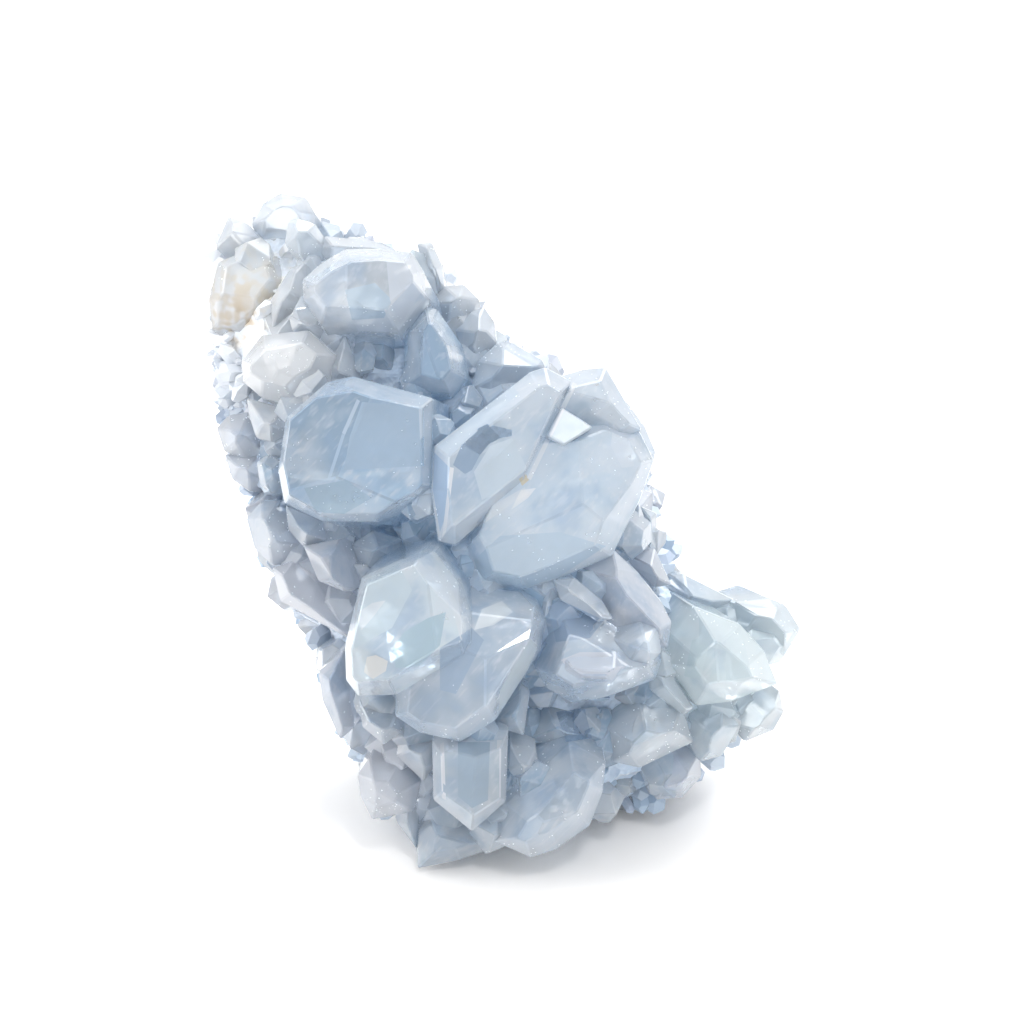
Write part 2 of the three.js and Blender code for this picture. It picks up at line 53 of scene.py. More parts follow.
# How the specimen stands: its growth face leans back, and a drawing of that face, seen from the
# front at some distance, gives the places of its crystals. Drawing places are in drawing units,
# and distances out from the face in millimetres.
MM = 0.001
LEAN = math.radians(25)
UNIT = 108 * MM / 675  # the growth face is 108 mm high, and 675 units on the drawing
DRAWN_FROM = 455 * MM
DRAWING_CENTRE = (512, 512)
FOOT_CORNER = (490, 870)  # on the drawing
FOOT_CORNER_PLACE = Vector((-1.97 * MM, -24.69 * MM, 0))  # and in the frame
ACROSS = Vector((1, 0, 0))
UP = Vector((0, math.sin(LEAN), math.cos(LEAN)))
OUT = Vector((0, -math.cos(LEAN), math.sin(LEAN)))


def placed(across, up, out):
    return FOOT_CORNER_PLACE + ACROSS * across + UP * up + OUT * out


def on_face(point, out):
    nearer = 1 - out * MM / DRAWN_FROM
    (x, y), (cx, cy) = point, DRAWING_CENTRE
    across = (cx - FOOT_CORNER[0] + (x - cx) * nearer) * UNIT
    up = (FOOT_CORNER[1] - cy + (cy - y) * nearer) * UNIT
    return placed(across, up, out * MM)


def facing(turn, tilt):
    turn, tilt = math.radians(turn), math.radians(tilt)
    side = math.sin(tilt)
    return ACROSS * side * math.cos(turn) + UP * side * math.sin(turn) + OUT * math.cos(tilt)


# The camera looks straight at the growth face, from the distance that it is drawn from.
across = (DRAWING_CENTRE[0] - FOOT_CORNER[0]) * UNIT
up = (FOOT_CORNER[1] - DRAWING_CENTRE[1]) * UNIT
bpy.ops.object.camera_add(
    location=placed(across, up, DRAWN_FROM),
    rotation=(math.pi / 2 - LEAN, 0, 0),
)
camera = bpy.context.object
camera.data.lens = 100
camera.data.sensor_width = 36
camera.data.clip_start = 0.01
scene = bpy.context.scene
scene.camera = camera
scene.view_settings.view_transform = "Standard"


# The crust: a piece of geode wall, massive celestite that is sugary and pale, under and behind the
# crystals. It broke off in flat faces behind, and stands on its thicker end.
CRUST_MIDDLE = (470, 570)
CRUST_OUTLINE = [
    (214, 290), (222, 258), (238, 236), (262, 222), (292, 216), (322, 228), (352, 242), (385, 252),
    (415, 262), (440, 288), (462, 312), (490, 338), (520, 358), (552, 378), (590, 400), (622, 428),
    (640, 462), (645, 500), (652, 538), (672, 574), (705, 602), (736, 632), (756, 664), (758, 700),
    (736, 730), (704, 756), (672, 780), (640, 800), (606, 812), (570, 826), (530, 838), (490, 844),
    (450, 846), (418, 838), (398, 812), (378, 780), (358, 740), (342, 700), (330, 662), (312, 624),
    (290, 588), (272, 548), (256, 506), (244, 462), (232, 420), (218, 382), (206, 344), (204, 316),
]
CRUST_RIM = -14
# The rings of its front and of its back, each a share of the ring before it and a step onwards.
FRONT_RINGS = [(0.97, 6), (0.92, 5), (0.8, 4), (0.6, 1.5)]
BACK_RINGS = [(0.99, 7), (0.95, 7), (0.88, 5), (0.72, 2.5)]
# Where the wall broke: a point on the drawing, how far out, and the break's turn and lean.
BREAKS = [
    ((520, 560), -37, 300, 174),
    ((400, 420), -30, 80, 166),
    ((290, 470), -26, 170, 144),
    ((640, 740), -37, 330, 150),
    ((430, 770), -40, 250, 146),
    ((570, 470), -29, 40, 140),
    ((262, 262), -19, 110, 135),
]
SUGAR = 0.9 * MM  # the grain of the wall
LUMPS = (9 * MM, 2.6 * MM)  # across, and high
GRAINS = (2.2 * MM, 1.3 * MM)


def drawn_ring(places):
    curve = bpy.data.curves.new("ring", "CURVE")
    curve.dimensions = "3D"
    line = curve.splines.new("POLY")
    line.points.add(len(places) - 1)
    line.use_cyclic_u = True
    for at, place in zip(line.points, places):
        at.co = (*place, 1)
    ring = bpy.data.objects.new("ring", curve)
    bpy.context.collection.objects.link(ring)
    bpy.ops.object.select_all(action="DESELECT")
    ring.select_set(True)
    bpy.context.view_layer.objects.active = ring
    bpy.ops.object.convert(target="MESH")
    return bpy.context.object


def pulled(ring, rings, way):
    bpy.ops.object.mode_set(mode="EDIT")
    bpy.ops.mesh.select_all(action="SELECT")
    middle = on_face(CRUST_MIDDLE, CRUST_RIM)
    for share, further in rings:
        step = OUT * further * MM * way
        middle += step
        bpy.ops.mesh.extrude_edges_move(TRANSFORM_OT_translate={"value": step})
        bpy.ops.transform.resize(value=(share,) * 3, center_override=middle)
    bpy.ops.mesh.edge_face_add()
    bpy.ops.object.mode_set(mode="OBJECT")
    return ring


def cut(piece, place, outward):
    bpy.ops.object.mode_set(mode="EDIT")
    bpy.ops.mesh.select_all(action="SELECT")
    bpy.ops.mesh.bisect(plane_co=place, plane_no=outward, clear_outer=True, use_fill=True, threshold=1e-7)
    bpy.ops.object.mode_set(mode="OBJECT")


def with_modifier(piece, kind, **settings):
    bpy.context.view_layer.objects.active = piece
    modifier = piece.modifiers.new("finish", kind)
    for name, value in settings.items():
        setattr(modifier, name, value)
    bpy.ops.object.modifier_apply(modifier="finish")
    return piece


def joined(first, others, operation="UNION"):
    for other in others:
        with_modifier(first, "BOOLEAN", operation=operation, solver="MANIFOLD", object=other)
        bpy.data.objects.remove(other)
    return first


def stood_on_floor(piece):
    bpy.ops.object.select_all(action="DESELECT")
    bpy.ops.mesh.primitive_cube_add(size=0.3, location=(0, 0, -0.15))
    bpy.ops.object.transform_apply(location=True)
    return joined(piece, [bpy.context.object], "DIFFERENCE")


rim = [on_face(point, CRUST_RIM) for point in CRUST_OUTLINE]
front_half = pulled(drawn_ring(rim), FRONT_RINGS, 1)
crust = pulled(drawn_ring(rim), BACK_RINGS, -1)
crust.name = "crust"
front_half.select_set(True)
bpy.ops.object.join()
bpy.ops.object.mode_set(mode="EDIT")
bpy.ops.mesh.select_all(action="SELECT")
bpy.ops.mesh.remove_doubles(threshold=0.01 * MM)
bpy.ops.mesh.normals_make_consistent()
bpy.ops.object.mode_set(mode="OBJECT")
for at, out, turn, lean in BREAKS:
    cut(crust, on_face(at, out), facing(turn, lean))
with_modifier(crust, "REMESH", mode="VOXEL", voxel_size=SUGAR)
for size, height in (LUMPS, GRAINS):
    texture = bpy.data.textures.new("lumps", "VORONOI")
    texture.noise_scale = size
    with_modifier(crust, "DISPLACE", texture=texture, texture_coords="LOCAL", strength=height,
        mid_level=0.7)
crust = stood_on_floor(crust)

crust_stone = bpy.data.materials.new("sugary celestite")
crust_stone.use_nodes = True


def linked(tree, socket, value):
    if isinstance(value, bpy.types.NodeSocket):
        tree.links.new(value, socket)
    elif isinstance(value, tuple) and socket.type == "RGBA":
        socket.default_value = (*value, 1)
    else:
        socket.default_value = value


def made_node(tree, kind, settings, **inputs):
    node = tree.nodes.new(kind)
    for name, value in settings.items():
        setattr(node, name, value)
    for name, value in inputs.items():
        number = name.removeprefix("i")
        linked(tree, node.inputs[int(number)] if number.isdigit() else node.inputs[name.replace("_", " ")],
            value)
    return node


def place_of(tree):
    return tree.nodes.new("ShaderNodeTexCoord").outputs["Object"]


def clouds(tree, size, low, high, detail=4.0, roughness=0.6, distortion=0.0):
    noise = made_node(tree, "ShaderNodeTexNoise", {}, Vector=place_of(tree), Scale=1 / size, Detail=detail,
                      Roughness=roughness, Distortion=distortion)
    return steps(tree, noise.outputs["Fac"], low, high)


def steps(tree, value, low, high):
    node = made_node(tree, "ShaderNodeMapRange", {"interpolation_type": "SMOOTHSTEP"},
                     Value=value, From_Min=low, From_Max=high)
    return node.outputs[0]


def sums(tree, operation, first, second):
    return made_node(tree, "ShaderNodeMath", {"operation": operation}, i0=first, i1=second).outputs[0]


def mixed(tree, share, first, second):
    return made_node(tree, "ShaderNodeMix", {"data_type": "RGBA"}, i0=share, i6=first, i7=second).outputs[2]


def near(tree, spot, reach):
    away = made_node(tree, "ShaderNodeVectorMath", {"operation": "DISTANCE"}, i0=place_of(tree), i1=spot)
    return steps(tree, away.outputs["Value"], reach, 0)


# Rusty stains, and paler regions of painted light that brighten parts lying in shade: each a place on the
# drawing, how far out, its reach in millimetres, its tone and whether it is patchy.
STAINS_AND_PAINTED_LIGHT = [
    ((258, 316), 0, 26, (0.84, 0.88, 0.93), False),
    ((745, 660), 0, 22, (0.8, 0.88, 0.91), False),
    # Painted light on the frosted crystal, lifting its shaded sides.
    ((290, 366), 10, 13, (0.98, 0.99, 1.0), False),
    ((300, 590), 2, 18, (0.84, 0.86, 0.91), False),
    # Painted light below the pale crystal, which shades the foot from above.
    ((385, 765), 2, 15, (0.82, 0.84, 0.89), False),
    ((250, 288), -2, 13, (0.86, 0.83, 0.76), True),
    ((240, 316), -4, 8, (0.62, 0.5, 0.36), True),
]
stains_and_painted_light = bpy.data.node_groups.new("stains_and_painted_light", "ShaderNodeTree")
stains_and_painted_light.interface.new_socket("Base", in_out="INPUT", socket_type="NodeSocketColor")
stains_and_painted_light.interface.new_socket("Color", in_out="OUTPUT", socket_type="NodeSocketColor")
stone = stains_and_painted_light.nodes.new("NodeGroupInput").outputs["Base"]
speckled = clouds(stains_and_painted_light, 2.2 * MM, 0.42, 0.62, 1.0)
for at, out, reach, tone, patchy in STAINS_AND_PAINTED_LIGHT:
    share = near(stains_and_painted_light, on_face(at, out), reach * MM)
    if patchy:
        share = sums(stains_and_painted_light, "MULTIPLY", share, speckled)
    stone = mixed(stains_and_painted_light, share, stone, tone)
stains_and_painted_light.links.new(stone, stains_and_painted_light.nodes.new("NodeGroupOutput").inputs["Color"])


def stained_and_painted_light(tree, base):
    return made_node(tree, "ShaderNodeGroup", {"node_tree": stains_and_painted_light}, i0=base).outputs["Color"]


tree = crust_stone.node_tree
shader = tree.nodes["Principled BSDF"]
stone = mixed(tree, clouds(tree, 9 * MM, 0.4, 0.6), (0.46, 0.53, 0.63), (0.58, 0.63, 0.7))
stone = mixed(tree, clouds(tree, 1.6 * MM, 0.52, 0.7), stone, (0.74, 0.78, 0.83))
facing_out = made_node(
    tree, "ShaderNodeVectorMath", {"operation": "DOT_PRODUCT"},
    i0=tree.nodes.new("ShaderNodeNewGeometry").outputs["Normal"], i1=tuple(OUT))
open_face = steps(tree, facing_out.outputs["Value"], 0.2, 0.7)
stone = mixed(tree, sums(tree, "MULTIPLY", open_face, 0.7), stone, (0.46, 0.58, 0.73))
linked(tree, shader.inputs["Base Color"], stained_and_painted_light(tree, stone))
shader.inputs["Roughness"].default_value = 0.45
linked(tree, shader.inputs["Normal"], made_node(
    tree, "ShaderNodeBump", {}, Strength=0.6, Distance=0.5 * MM,
    Height=made_node(tree, "ShaderNodeTexVoronoi", {}, Vector=place_of(tree),
        Scale=1 / (1.1 * MM)).outputs["Distance"],
).outputs["Normal"])
crust.data.materials.clear()
crust.data.materials.append(crust_stone)
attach(crust, "root")
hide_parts("celestite_cluster")


# The crystals of the front: stout celestite, grown out of the crust and through one another. They
# are cut out of blocks, one flat face after another, and joined in one clear solid.
HEART = placed(0, 58 * MM, -72 * MM)  # they fan out from here
ROOT = 9 * MM  # how far a crystal goes on behind the growth face
EDGE = 0.22 * MM  # the bevelled edges between its faces, worn dull and given a painted highlight
MILKY = 2  # the material of a milky crystal's faces
# A look is the tint of the crystal, how frosted it is and how veiled it is inside.
DEEP = ((0.4, 0.56, 0.72), 0.05, 0.35)
BLUE = ((0.62, 0.73, 0.84), 0.05, 0.4)
GREY = ((0.66, 0.76, 0.84), 0.05, 0.5)
PALE = ((0.8, 0.9, 0.95), 0.1, 0.5)
CLEAR = ((0.79, 0.84, 0.88), 0.00, 0.35)
VIOLET = ((0.72, 0.76, 0.85), 0.05, 0.45)
GREEN = ((0.72, 0.82, 0.85), 0.05, 0.55)
FROSTED = ((1.0, 1.0, 1.0), 0.2, 0.8)
MIRROR = ((0.8, 0.88, 0.9), 0.45, 0.35)
ICE = ((0.93, 0.96, 0.98), 0.1, 0.75)
# A crystal: its look, how far out its rim is, the rim, the slope of the crown face over each side
# of the rim, and the roof faces over its middle, each a turn, a tilt and a height in millimetres.
FRONT = [
    # The hexagonal blue crystal, left of the middle
    (DEEP, 16, [(286, 418), (327, 382), (352, 376), (433, 398), (432, 485), (418, 500), (378, 522),
     (322, 521), (284, 503), (278, 470)],
     [78, 66, 68, 72, 76, 74, 72, 72, 74, 78], [(158, 10, 6.4), (338, 9, 6.2), (268, 24, 7.7)]),
    # The great crystal: its left half, with a broad table and a bevel along its upper edge
    (GREY, 18, [(434, 446), (530, 372), (545, 367), (573, 382), (522, 490), (455, 545), (438, 541),
     (431, 490)],
     [58, 58, 64, 78, 64, 58, 62, 62], [(128, 7, 5), (318, 9, 5.2)]),
    # Its right half, which runs down under the table's edge
    (GREY, 13, [(494, 478), (520, 420), (606, 410), (640, 432), (654, 460), (640, 500), (612, 556),
     (560, 578), (525, 590), (478, 583), (452, 530)],
     [78, 60, 62, 60, 64, 62, 66, 68, 70, 64, 78], [(140, 7, 8), (15, 24, 9.6), (285, 18, 8.6)]),
    # Its upper corner, with the mirror-bright face
    (GREY, 15, [(530, 440), (560, 376), (583, 369), (606, 367), (625, 400), (642, 430), (600, 446)],
     [66, 66, 60, 62, 64, 60, 34], [(55, 20, 5)]),
    # Its mirror-bright face
    (MIRROR, 21, [(547, 436), (562, 407), (593, 427), (564, 446)], [82, 82, 82, 82], [(75, 14, 0.5)]),
    # The swell behind its right edge
    (GREY, 7, [(604, 402), (626, 400), (645, 426), (656, 452), (648, 482), (628, 502), (606, 470)],
     [58, 68, 66, 68, 68, 66, 53], [(10, 22, 7)]),
    # The pale crystal that stands furthest out
    (PALE, 22, [(362, 576), (400, 560), (420, 551), (434, 551), (458, 582), (470, 614), (471, 642),
     (463, 656), (396, 695), (358, 696), (346, 680), (345, 645), (353, 612)],
     [80, 80, 78, 68, 80, 80, 78, 72, 72, 78, 80, 80, 80], [(150, 8, 8.6), (15, 34, 12)]),
    # The broad crystal behind it
    (BLUE, 14, [(460, 585), (520, 592), (537, 602), (545, 620), (541, 650), (496, 720), (461, 742),
     (420, 733), (395, 716), (396, 660)],
     [58, 74, 74, 74, 70, 66, 68, 70, 68, 58], [(85, 20, 9), (325, 20, 8.8), (235, 14, 8.2)]),
    # The narrow crystal between that and the violet one
    (BLUE, 9, [(528, 590), (550, 574), (560, 582), (560, 622), (553, 640), (538, 655), (530, 630)],
     [58, 63, 68, 58, 63, 68, 58], [(180, 16, 5)]),
    # The long violet crystal right of the middle
    (VIOLET, 11, [(585, 570), (612, 548), (638, 572), (662, 602), (672, 622), (668, 648), (640, 650),
     (606, 622)],
     [53, 63, 58, 64, 68, 63, 48, 53], [(45, 14, 6), (225, 20, 6.4)]),
    # The blade that leans on it
    (CLEAR, 14, [(554, 580), (575, 578), (602, 600), (613, 619), (598, 622), (560, 600)],
     [63, 58, 53, 68, 58, 58], [(70, 12, 3)]),
    # The broad blue crystal under the violet one, with a lens-shaped step on it
    (BLUE, 10, [(543, 640), (560, 606), (612, 618), (655, 640), (662, 660), (655, 680), (604, 698),
     (573, 703), (546, 688), (535, 668)],
     [68, 63, 58, 68, 72, 68, 66, 68, 72, 68], [(85, 14, 8.4), (265, 18, 8.6)]),
    (VIOLET, 17, [(558, 655), (580, 649), (615, 650), (632, 664), (612, 683), (580, 682), (560, 670)],
     [58, 48, 53, 63, 68, 68, 58], [(250, 10, 3.4)]),
    (BLUE, 15, [(615, 640), (640, 622), (658, 625), (662, 652), (648, 668), (625, 668)],
     [58, 58, 64, 68, 58, 58], [(30, 18, 4.5)]),
    # The broad clear crystal near the top
    (CLEAR, 9, [(322, 262), (345, 249), (382, 248), (412, 252), (424, 272), (426, 297), (398, 332),
     (360, 331), (321, 326), (303, 300), (302, 280)],
     [68, 70, 70, 72, 74, 74, 76, 74, 70, 70, 68], [(18, 10, 7.2), (168, 16, 8.2), (275, 10, 8)]),
    # The deep blue crystals below it
    (DEEP, 4, [(405, 330), (425, 304), (438, 310), (462, 345), (470, 380), (455, 402), (436, 400),
     (402, 388)],
     [70, 70, 74, 72, 68, 70, 70, 68], [(20, 14, 8), (200, 16, 8.4)]),
    (DEEP, -2, [(350, 332), (402, 330), (404, 362), (398, 384), (352, 378)],
     [63, 58, 60, 56, 64], [(120, 12, 5)]),
    (DEEP, 3, [(436, 400), (462, 380), (480, 392), (470, 420), (440, 442), (433, 436)],
     [58, 63, 56, 64, 58, 60], [(30, 20, 6)]),
    # The frosted white crystal on the left, and the drop-shaped one below it
    (FROSTED, 8, [(262, 335), (308, 330), (336, 355), (327, 380), (296, 406), (262, 398), (243, 382),
     (241, 362)],
     [68, 70, 72, 68, 68, 70, 72, 70], [(25, 16, 6.8), (205, 18, 7.2), (280, 20, 7.2)]),
    (FROSTED, 6, [(246, 398), (286, 408), (285, 430), (272, 442), (256, 438), (250, 420)],
     [53, 64, 68, 58, 64, 60], [(190, 14, 4)]),
    (GREY, 6, [(326, 366), (345, 334), (352, 352), (353, 378), (330, 384)],
     [58, 64, 58, 68, 60], [(140, 18, 4.5)]),
    # The left edge, from the frosted crystal down
    (VIOLET, -2, [(216, 428), (228, 415), (250, 411), (262, 430), (264, 452), (246, 460), (224, 452)],
     [58, 54, 60, 64, 53, 62, 58], [(160, 18, 5)]),
    (VIOLET, -3, [(224, 454), (262, 452), (264, 480), (250, 492), (232, 480)],
     [56, 63, 58, 54, 62], [(200, 16, 5)]),
    (DEEP, 7, [(256, 462), (268, 454), (282, 462), (284, 484), (272, 494), (260, 486)],
     [68, 58, 64, 58, 70, 63], [(170, 12, 2.5)]),
    (BLUE, 3, [(246, 518), (262, 500), (280, 500), (300, 520), (302, 545), (286, 563), (272, 566),
     (254, 548)],
     [64, 58, 56, 60, 64, 58, 66, 60], [(110, 14, 6), (270, 22, 6.4)]),
    (BLUE, 7, [(285, 505), (322, 521), (326, 540), (304, 548), (288, 530)],
     [53, 58, 64, 60, 58], [(300, 16, 3.6)]),
    (VIOLET, 9, [(303, 546), (340, 539), (348, 560), (356, 590), (345, 592), (318, 581)],
     [58, 64, 56, 68, 72, 60], [(75, 20, 4)]),
    (VIOLET, 4, [(272, 568), (300, 558), (316, 582), (352, 616), (350, 640), (300, 612), (280, 601)],
     [62, 54, 48, 68, 70, 66, 64], [(60, 20, 6), (230, 20, 6.4)]),
    # The gaps in the middle
    (DEEP, 5, [(350, 545), (372, 530), (402, 540), (398, 562), (364, 574)],
     [58, 64, 56, 60, 58], [(40, 18, 5)]),
    (DEEP, 4, [(392, 528), (420, 505), (436, 520), (440, 545), (410, 552)],
     [60, 58, 68, 56, 63], [(200, 20, 5)]),
    (BLUE, 9, [(436, 546), (462, 548), (476, 584), (458, 582)],
     [58, 60, 64, 56], [(150, 16, 4)]),
    # The foot: a clear prism, a broad block beside it, and the corner the specimen stands on
    (GREY, 11, [(432, 742), (446, 730), (478, 728), (508, 731), (506, 802), (472, 832), (433, 800)],
     [58, 53, 48, 70, 64, 60, 68], [(352, 26, 5.2), (178, 10, 4.4)]),
    (BLUE, 7, [(512, 785), (540, 753), (566, 740), (606, 762), (603, 792), (590, 826), (556, 850),
     (531, 858), (494, 842), (478, 830), (506, 803)],
     [58, 60, 58, 66, 64, 60, 58, 64, 68, 58, 58], [(70, 8, 6.5), (215, 18, 7.2), (300, 24, 7.6)]),
    (GREY, 1.5, [(418, 832), (432, 805), (500, 836), (505, 845), (460, 860), (417, 869)],
     [70, 53, 58, 58, 58, 56], [(300, 12, 4)]),
    (GREY, 0, [(372, 790), (420, 790), (418, 834), (416, 869), (399, 846), (396, 822)],
     [58, 64, 68, 58, 60, 64], [(190, 14, 4)]),
    (VIOLET, 3, [(357, 775), (370, 757), (400, 760), (421, 782), (414, 812), (372, 820), (360, 796)],
     [64, 58, 56, 60, 64, 68, 62], [(60, 22, 5.4), (240, 22, 5.8)]),
    (BLUE, 10, [(358, 700), (396, 716), (402, 732), (384, 745), (362, 727)],
     [56, 64, 58, 62, 66], [(250, 14, 3.8)]),
    (VIOLET, 5, [(318, 672), (345, 650), (350, 690), (356, 726), (340, 740), (322, 700)],
     [63, 56, 58, 64, 62, 66], [(180, 20, 5)]),
    (GREY, 6, [(400, 730), (440, 736), (438, 762), (424, 782), (396, 756)],
     [58, 60, 68, 58, 62], [(230, 16, 4.4)]),
    # Between the foot and the broad blue crystal
    (DEEP, 8, [(492, 718), (520, 684), (530, 692), (524, 736), (505, 730)],
     [64, 58, 68, 60, 58], [(30, 20, 4)]),
    (DEEP, 2, [(522, 742), (545, 705), (575, 712), (590, 738), (560, 745)],
     [58, 62, 56, 64, 60], [(90, 16, 6)]),
    (CLEAR, 6, [(510, 745), (536, 748), (540, 772), (520, 786), (508, 770)],
     [58, 66, 60, 58, 64], [(60, 20, 4)]),
    # The right arm: a ribbed green-blue crystal, the clear tip behind it, and the blocks below
    (GREEN, 4, [(668, 665), (672, 636), (694, 606), (740, 624), (764, 650), (778, 684), (730, 702),
     (696, 706)],
     [64, 58, 66, 62, 62, 68, 64, 66], [(200, 18, 8.5), (335, 12, 8.2)]),
    (ICE, -4, [(712, 612), (735, 601), (770, 598), (786, 605), (801, 629), (780, 664), (756, 660),
     (745, 632)],
     [64, 60, 68, 58, 62, 66, 60, 53], [(35, 18, 7), (200, 20, 7.6)]),
    (GREY, -5, [(672, 576), (684, 574), (735, 600), (705, 614), (675, 614)],
     [58, 62, 66, 58, 60], [(60, 20, 6)]),
    (ICE, -6, [(742, 700), (780, 690), (784, 712), (774, 730), (745, 742), (728, 722)],
     [58, 66, 60, 68, 62, 58], [(340, 16, 6)]),
    (GREY, 2, [(606, 728), (640, 700), (682, 706), (694, 742), (640, 768), (612, 762)],
     [60, 56, 64, 58, 66, 62], [(100, 12, 6.5), (290, 20, 7)]),
    (GREY, -2, [(690, 716), (722, 702), (740, 726), (722, 756), (700, 762), (688, 742)],
     [58, 62, 58, 68, 62, 58], [(300, 20, 5.4)]),
    (VIOLET, -5, [(648, 768), (672, 748), (700, 750), (702, 776), (682, 798), (656, 800)],
     [60, 58, 64, 68, 62, 66], [(120, 12, 5.5)]),
    (GREY, 4, [(650, 672), (668, 668), (694, 708), (684, 716), (652, 692)],
     [63, 58, 68, 58, 60], [(45, 14, 3.6)]),
    # The grey crystals on the right shoulder
    (GREY, 4, [(618, 552), (612, 535), (640, 504), (652, 538), (642, 545)],
     [58, 58, 66, 58, 64], [(140, 20, 4.4)]),
    (GREY, -1, [(638, 505), (660, 514), (668, 530), (657, 548), (657, 570), (640, 560), (640, 540)],
     [62, 66, 58, 68, 60, 58, 58], [(20, 18, 5)]),
    (VIOLET, 3, [(622, 552), (655, 548), (672, 585), (655, 588), (634, 568)],
     [53, 62, 64, 66, 58], [(40, 16, 4)]),
    # The upper right edge, from the great crystal to the top
    (BLUE, 2, [(470, 390), (478, 360), (498, 342), (512, 342), (543, 360), (546, 368), (520, 386),
     (490, 400)],
     [58, 62, 66, 58, 64, 68, 60, 58], [(60, 22, 6.5), (230, 14, 6.8)]),
    (CLEAR, -1, [(455, 330), (470, 312), (484, 306), (495, 322), (497, 342), (478, 360), (462, 352)],
     [58, 63, 60, 68, 58, 62, 58], [(40, 16, 5.5)]),
    (CLEAR, -2, [(428, 303), (444, 286), (464, 284), (480, 300), (466, 322), (448, 324)],
     [58, 64, 66, 60, 58, 62], [(60, 18, 5.5)]),
    (CLEAR, -2, [(403, 251), (412, 243), (432, 242), (442, 264), (445, 288), (430, 302), (424, 275)],
     [62, 66, 64, 68, 60, 58, 56], [(30, 20, 5.6)]),
    (CLEAR, -1, [(318, 250), (328, 226), (345, 226), (376, 241), (395, 243), (392, 262), (330, 264)],
     [58, 64, 66, 62, 58, 54, 58], [(75, 18, 6)]),
    # The top of the crust
    (ICE, -7, [(251, 225), (263, 203), (280, 193), (306, 197), (315, 214), (312, 236), (262, 240)],
     [62, 64, 66, 62, 64, 58, 56], [(20, 14, 6), (160, 20, 6.6)]),
    (PALE, 2, [(284, 244), (288, 222), (298, 218), (316, 224), (318, 242), (300, 256)],
     [60, 64, 58, 66, 62, 58], [(100, 16, 4)]),
    (FROSTED, -6, [(215, 248), (228, 216), (246, 222), (262, 238), (250, 252)],
     [62, 66, 58, 60, 58], [(130, 18, 5)]),
    (ICE, -4, [(208, 300), (218, 262), (246, 250), (278, 256), (292, 284), (270, 322), (240, 334),
     (212, 330)],
     [58, 62, 60, 56, 58, 62, 60, 58], [(110, 14, 4), (250, 24, 4.6)]),
    (GREY, 2, [(270, 300), (290, 268), (305, 262), (306, 300), (286, 318), (272, 330)],
     [58, 62, 58, 64, 60, 58], [(200, 20, 6)]),
    (GREY, 6, [(288, 316), (306, 310), (322, 324), (316, 334), (292, 332)],
     [58, 60, 66, 68, 60], [(100, 16, 3.4)]),
]


def cut_block(centre, size, faces, look, edge, tip):
    bpy.ops.object.select_all(action="DESELECT")
    bpy.ops.mesh.primitive_cube_add(size=size, location=centre)
    bpy.ops.object.transform_apply(location=True)
    block = bpy.context.object
    mesh = block.data
    bpy.ops.object.mode_set(mode="EDIT")
    for outward, point in faces:
        bpy.ops.mesh.select_all(action="SELECT")
        bpy.ops.mesh.bisect(plane_co=point, plane_no=outward, clear_outer=True, use_fill=True,
            threshold=1e-7)
    bpy.ops.mesh.select_all(action="SELECT")
    bpy.ops.mesh.remove_doubles(threshold=edge * 1.6)
    bpy.ops.mesh.bevel(offset=edge, segments=1, affect="EDGES", material=1)
    bpy.ops.object.mode_set(mode="OBJECT")
    tint, frost, veil = look
    count = len(mesh.polygons)
    worn_and_highlit = [float(face.material_index) for face in mesh.polygons]
    kinds = [1 if face.material_index else MILKY * (veil > 0.7) for face in mesh.polygons]
    mesh.polygons.foreach_set("material_index", kinds)
    tones = []
    # Each face's tint is made a little lighter or darker by the way it faces: painted light and shade that
    # set the facets apart.
    for face in mesh.polygons:
        painted_facet_light = 0.95 + 0.12 * math.sin(face.normal.dot((41, 67, 53)))
        tones += [min(part * painted_facet_light, 1) for part in tint] + [1]
    mesh.attributes.new("tint", "FLOAT_COLOR", "FACE").data.foreach_set("color", tones)
    mesh.attributes.new("frost", "FLOAT", "FACE").data.foreach_set("value", [frost] * count)
    mesh.attributes.new("veil", "FLOAT", "FACE").data.foreach_set("value", [veil] * count)
    mesh.attributes.new("worn_and_highlit", "FLOAT", "FACE").data.foreach_set("value", worn_and_highlit)
    mesh.attributes.new("tip", "FLOAT", "FACE").data.foreach_set("value", [tip] * count)
    return block


def front_crystal(look, out, rim, slopes, roofs):
    points = [on_face(point, out) for point in rim]
    centre = sum(points, Vector()) / len(points)
    axis = (centre - HEART).normalized()
    faces = []
    for i, point in enumerate(points):
        along = points[(i + 1) % len(points)] - point
        side = along.cross(axis).normalized()
        outward = math.copysign(1, side.dot(point - centre))
        faces.append((side * outward, point))
        flat = along.cross(OUT).normalized() * outward
        slope = math.radians(slopes[i])
        faces.append((flat * math.sin(slope) + OUT * math.cos(slope), point))
    for turn, tilt, height in roofs:
        faces.append((facing(turn, tilt), centre + OUT * height * MM))
    tip = (centre + OUT * min([height for _, _, height in roofs] or [4]) * MM).dot(OUT)
    faces.append((-axis, centre - axis * (max(out, 0) * MM + ROOT)))
    return cut_block(centre, 0.12, faces, look, EDGE, tip)


front = [front_crystal(*row) for row in FRONT]
crystals = joined(front[0], front[1:])
crystals.name = "crystals"

# The druse: small lozenge crystals in rows round the crust's edge, grown fast to the rest.
PRISM_TURNS = (38, 142, 218, 322)
TIP_SLOPES = (46, 50, 42, 52)
SUNK = 3 * MM
DRUSE_ROWS = [
    (-5, 0.92, 46, 2, (4, 6.5), (5, 7.5)),
    (-14, 0.95, 80, 2, (2, 4.5), (5, 8)),
    (-23, 0.94, 108, 3, (2.5, 5), (5, 8)),
]
BARE = (0, 1, 44, 45, 46, 47)


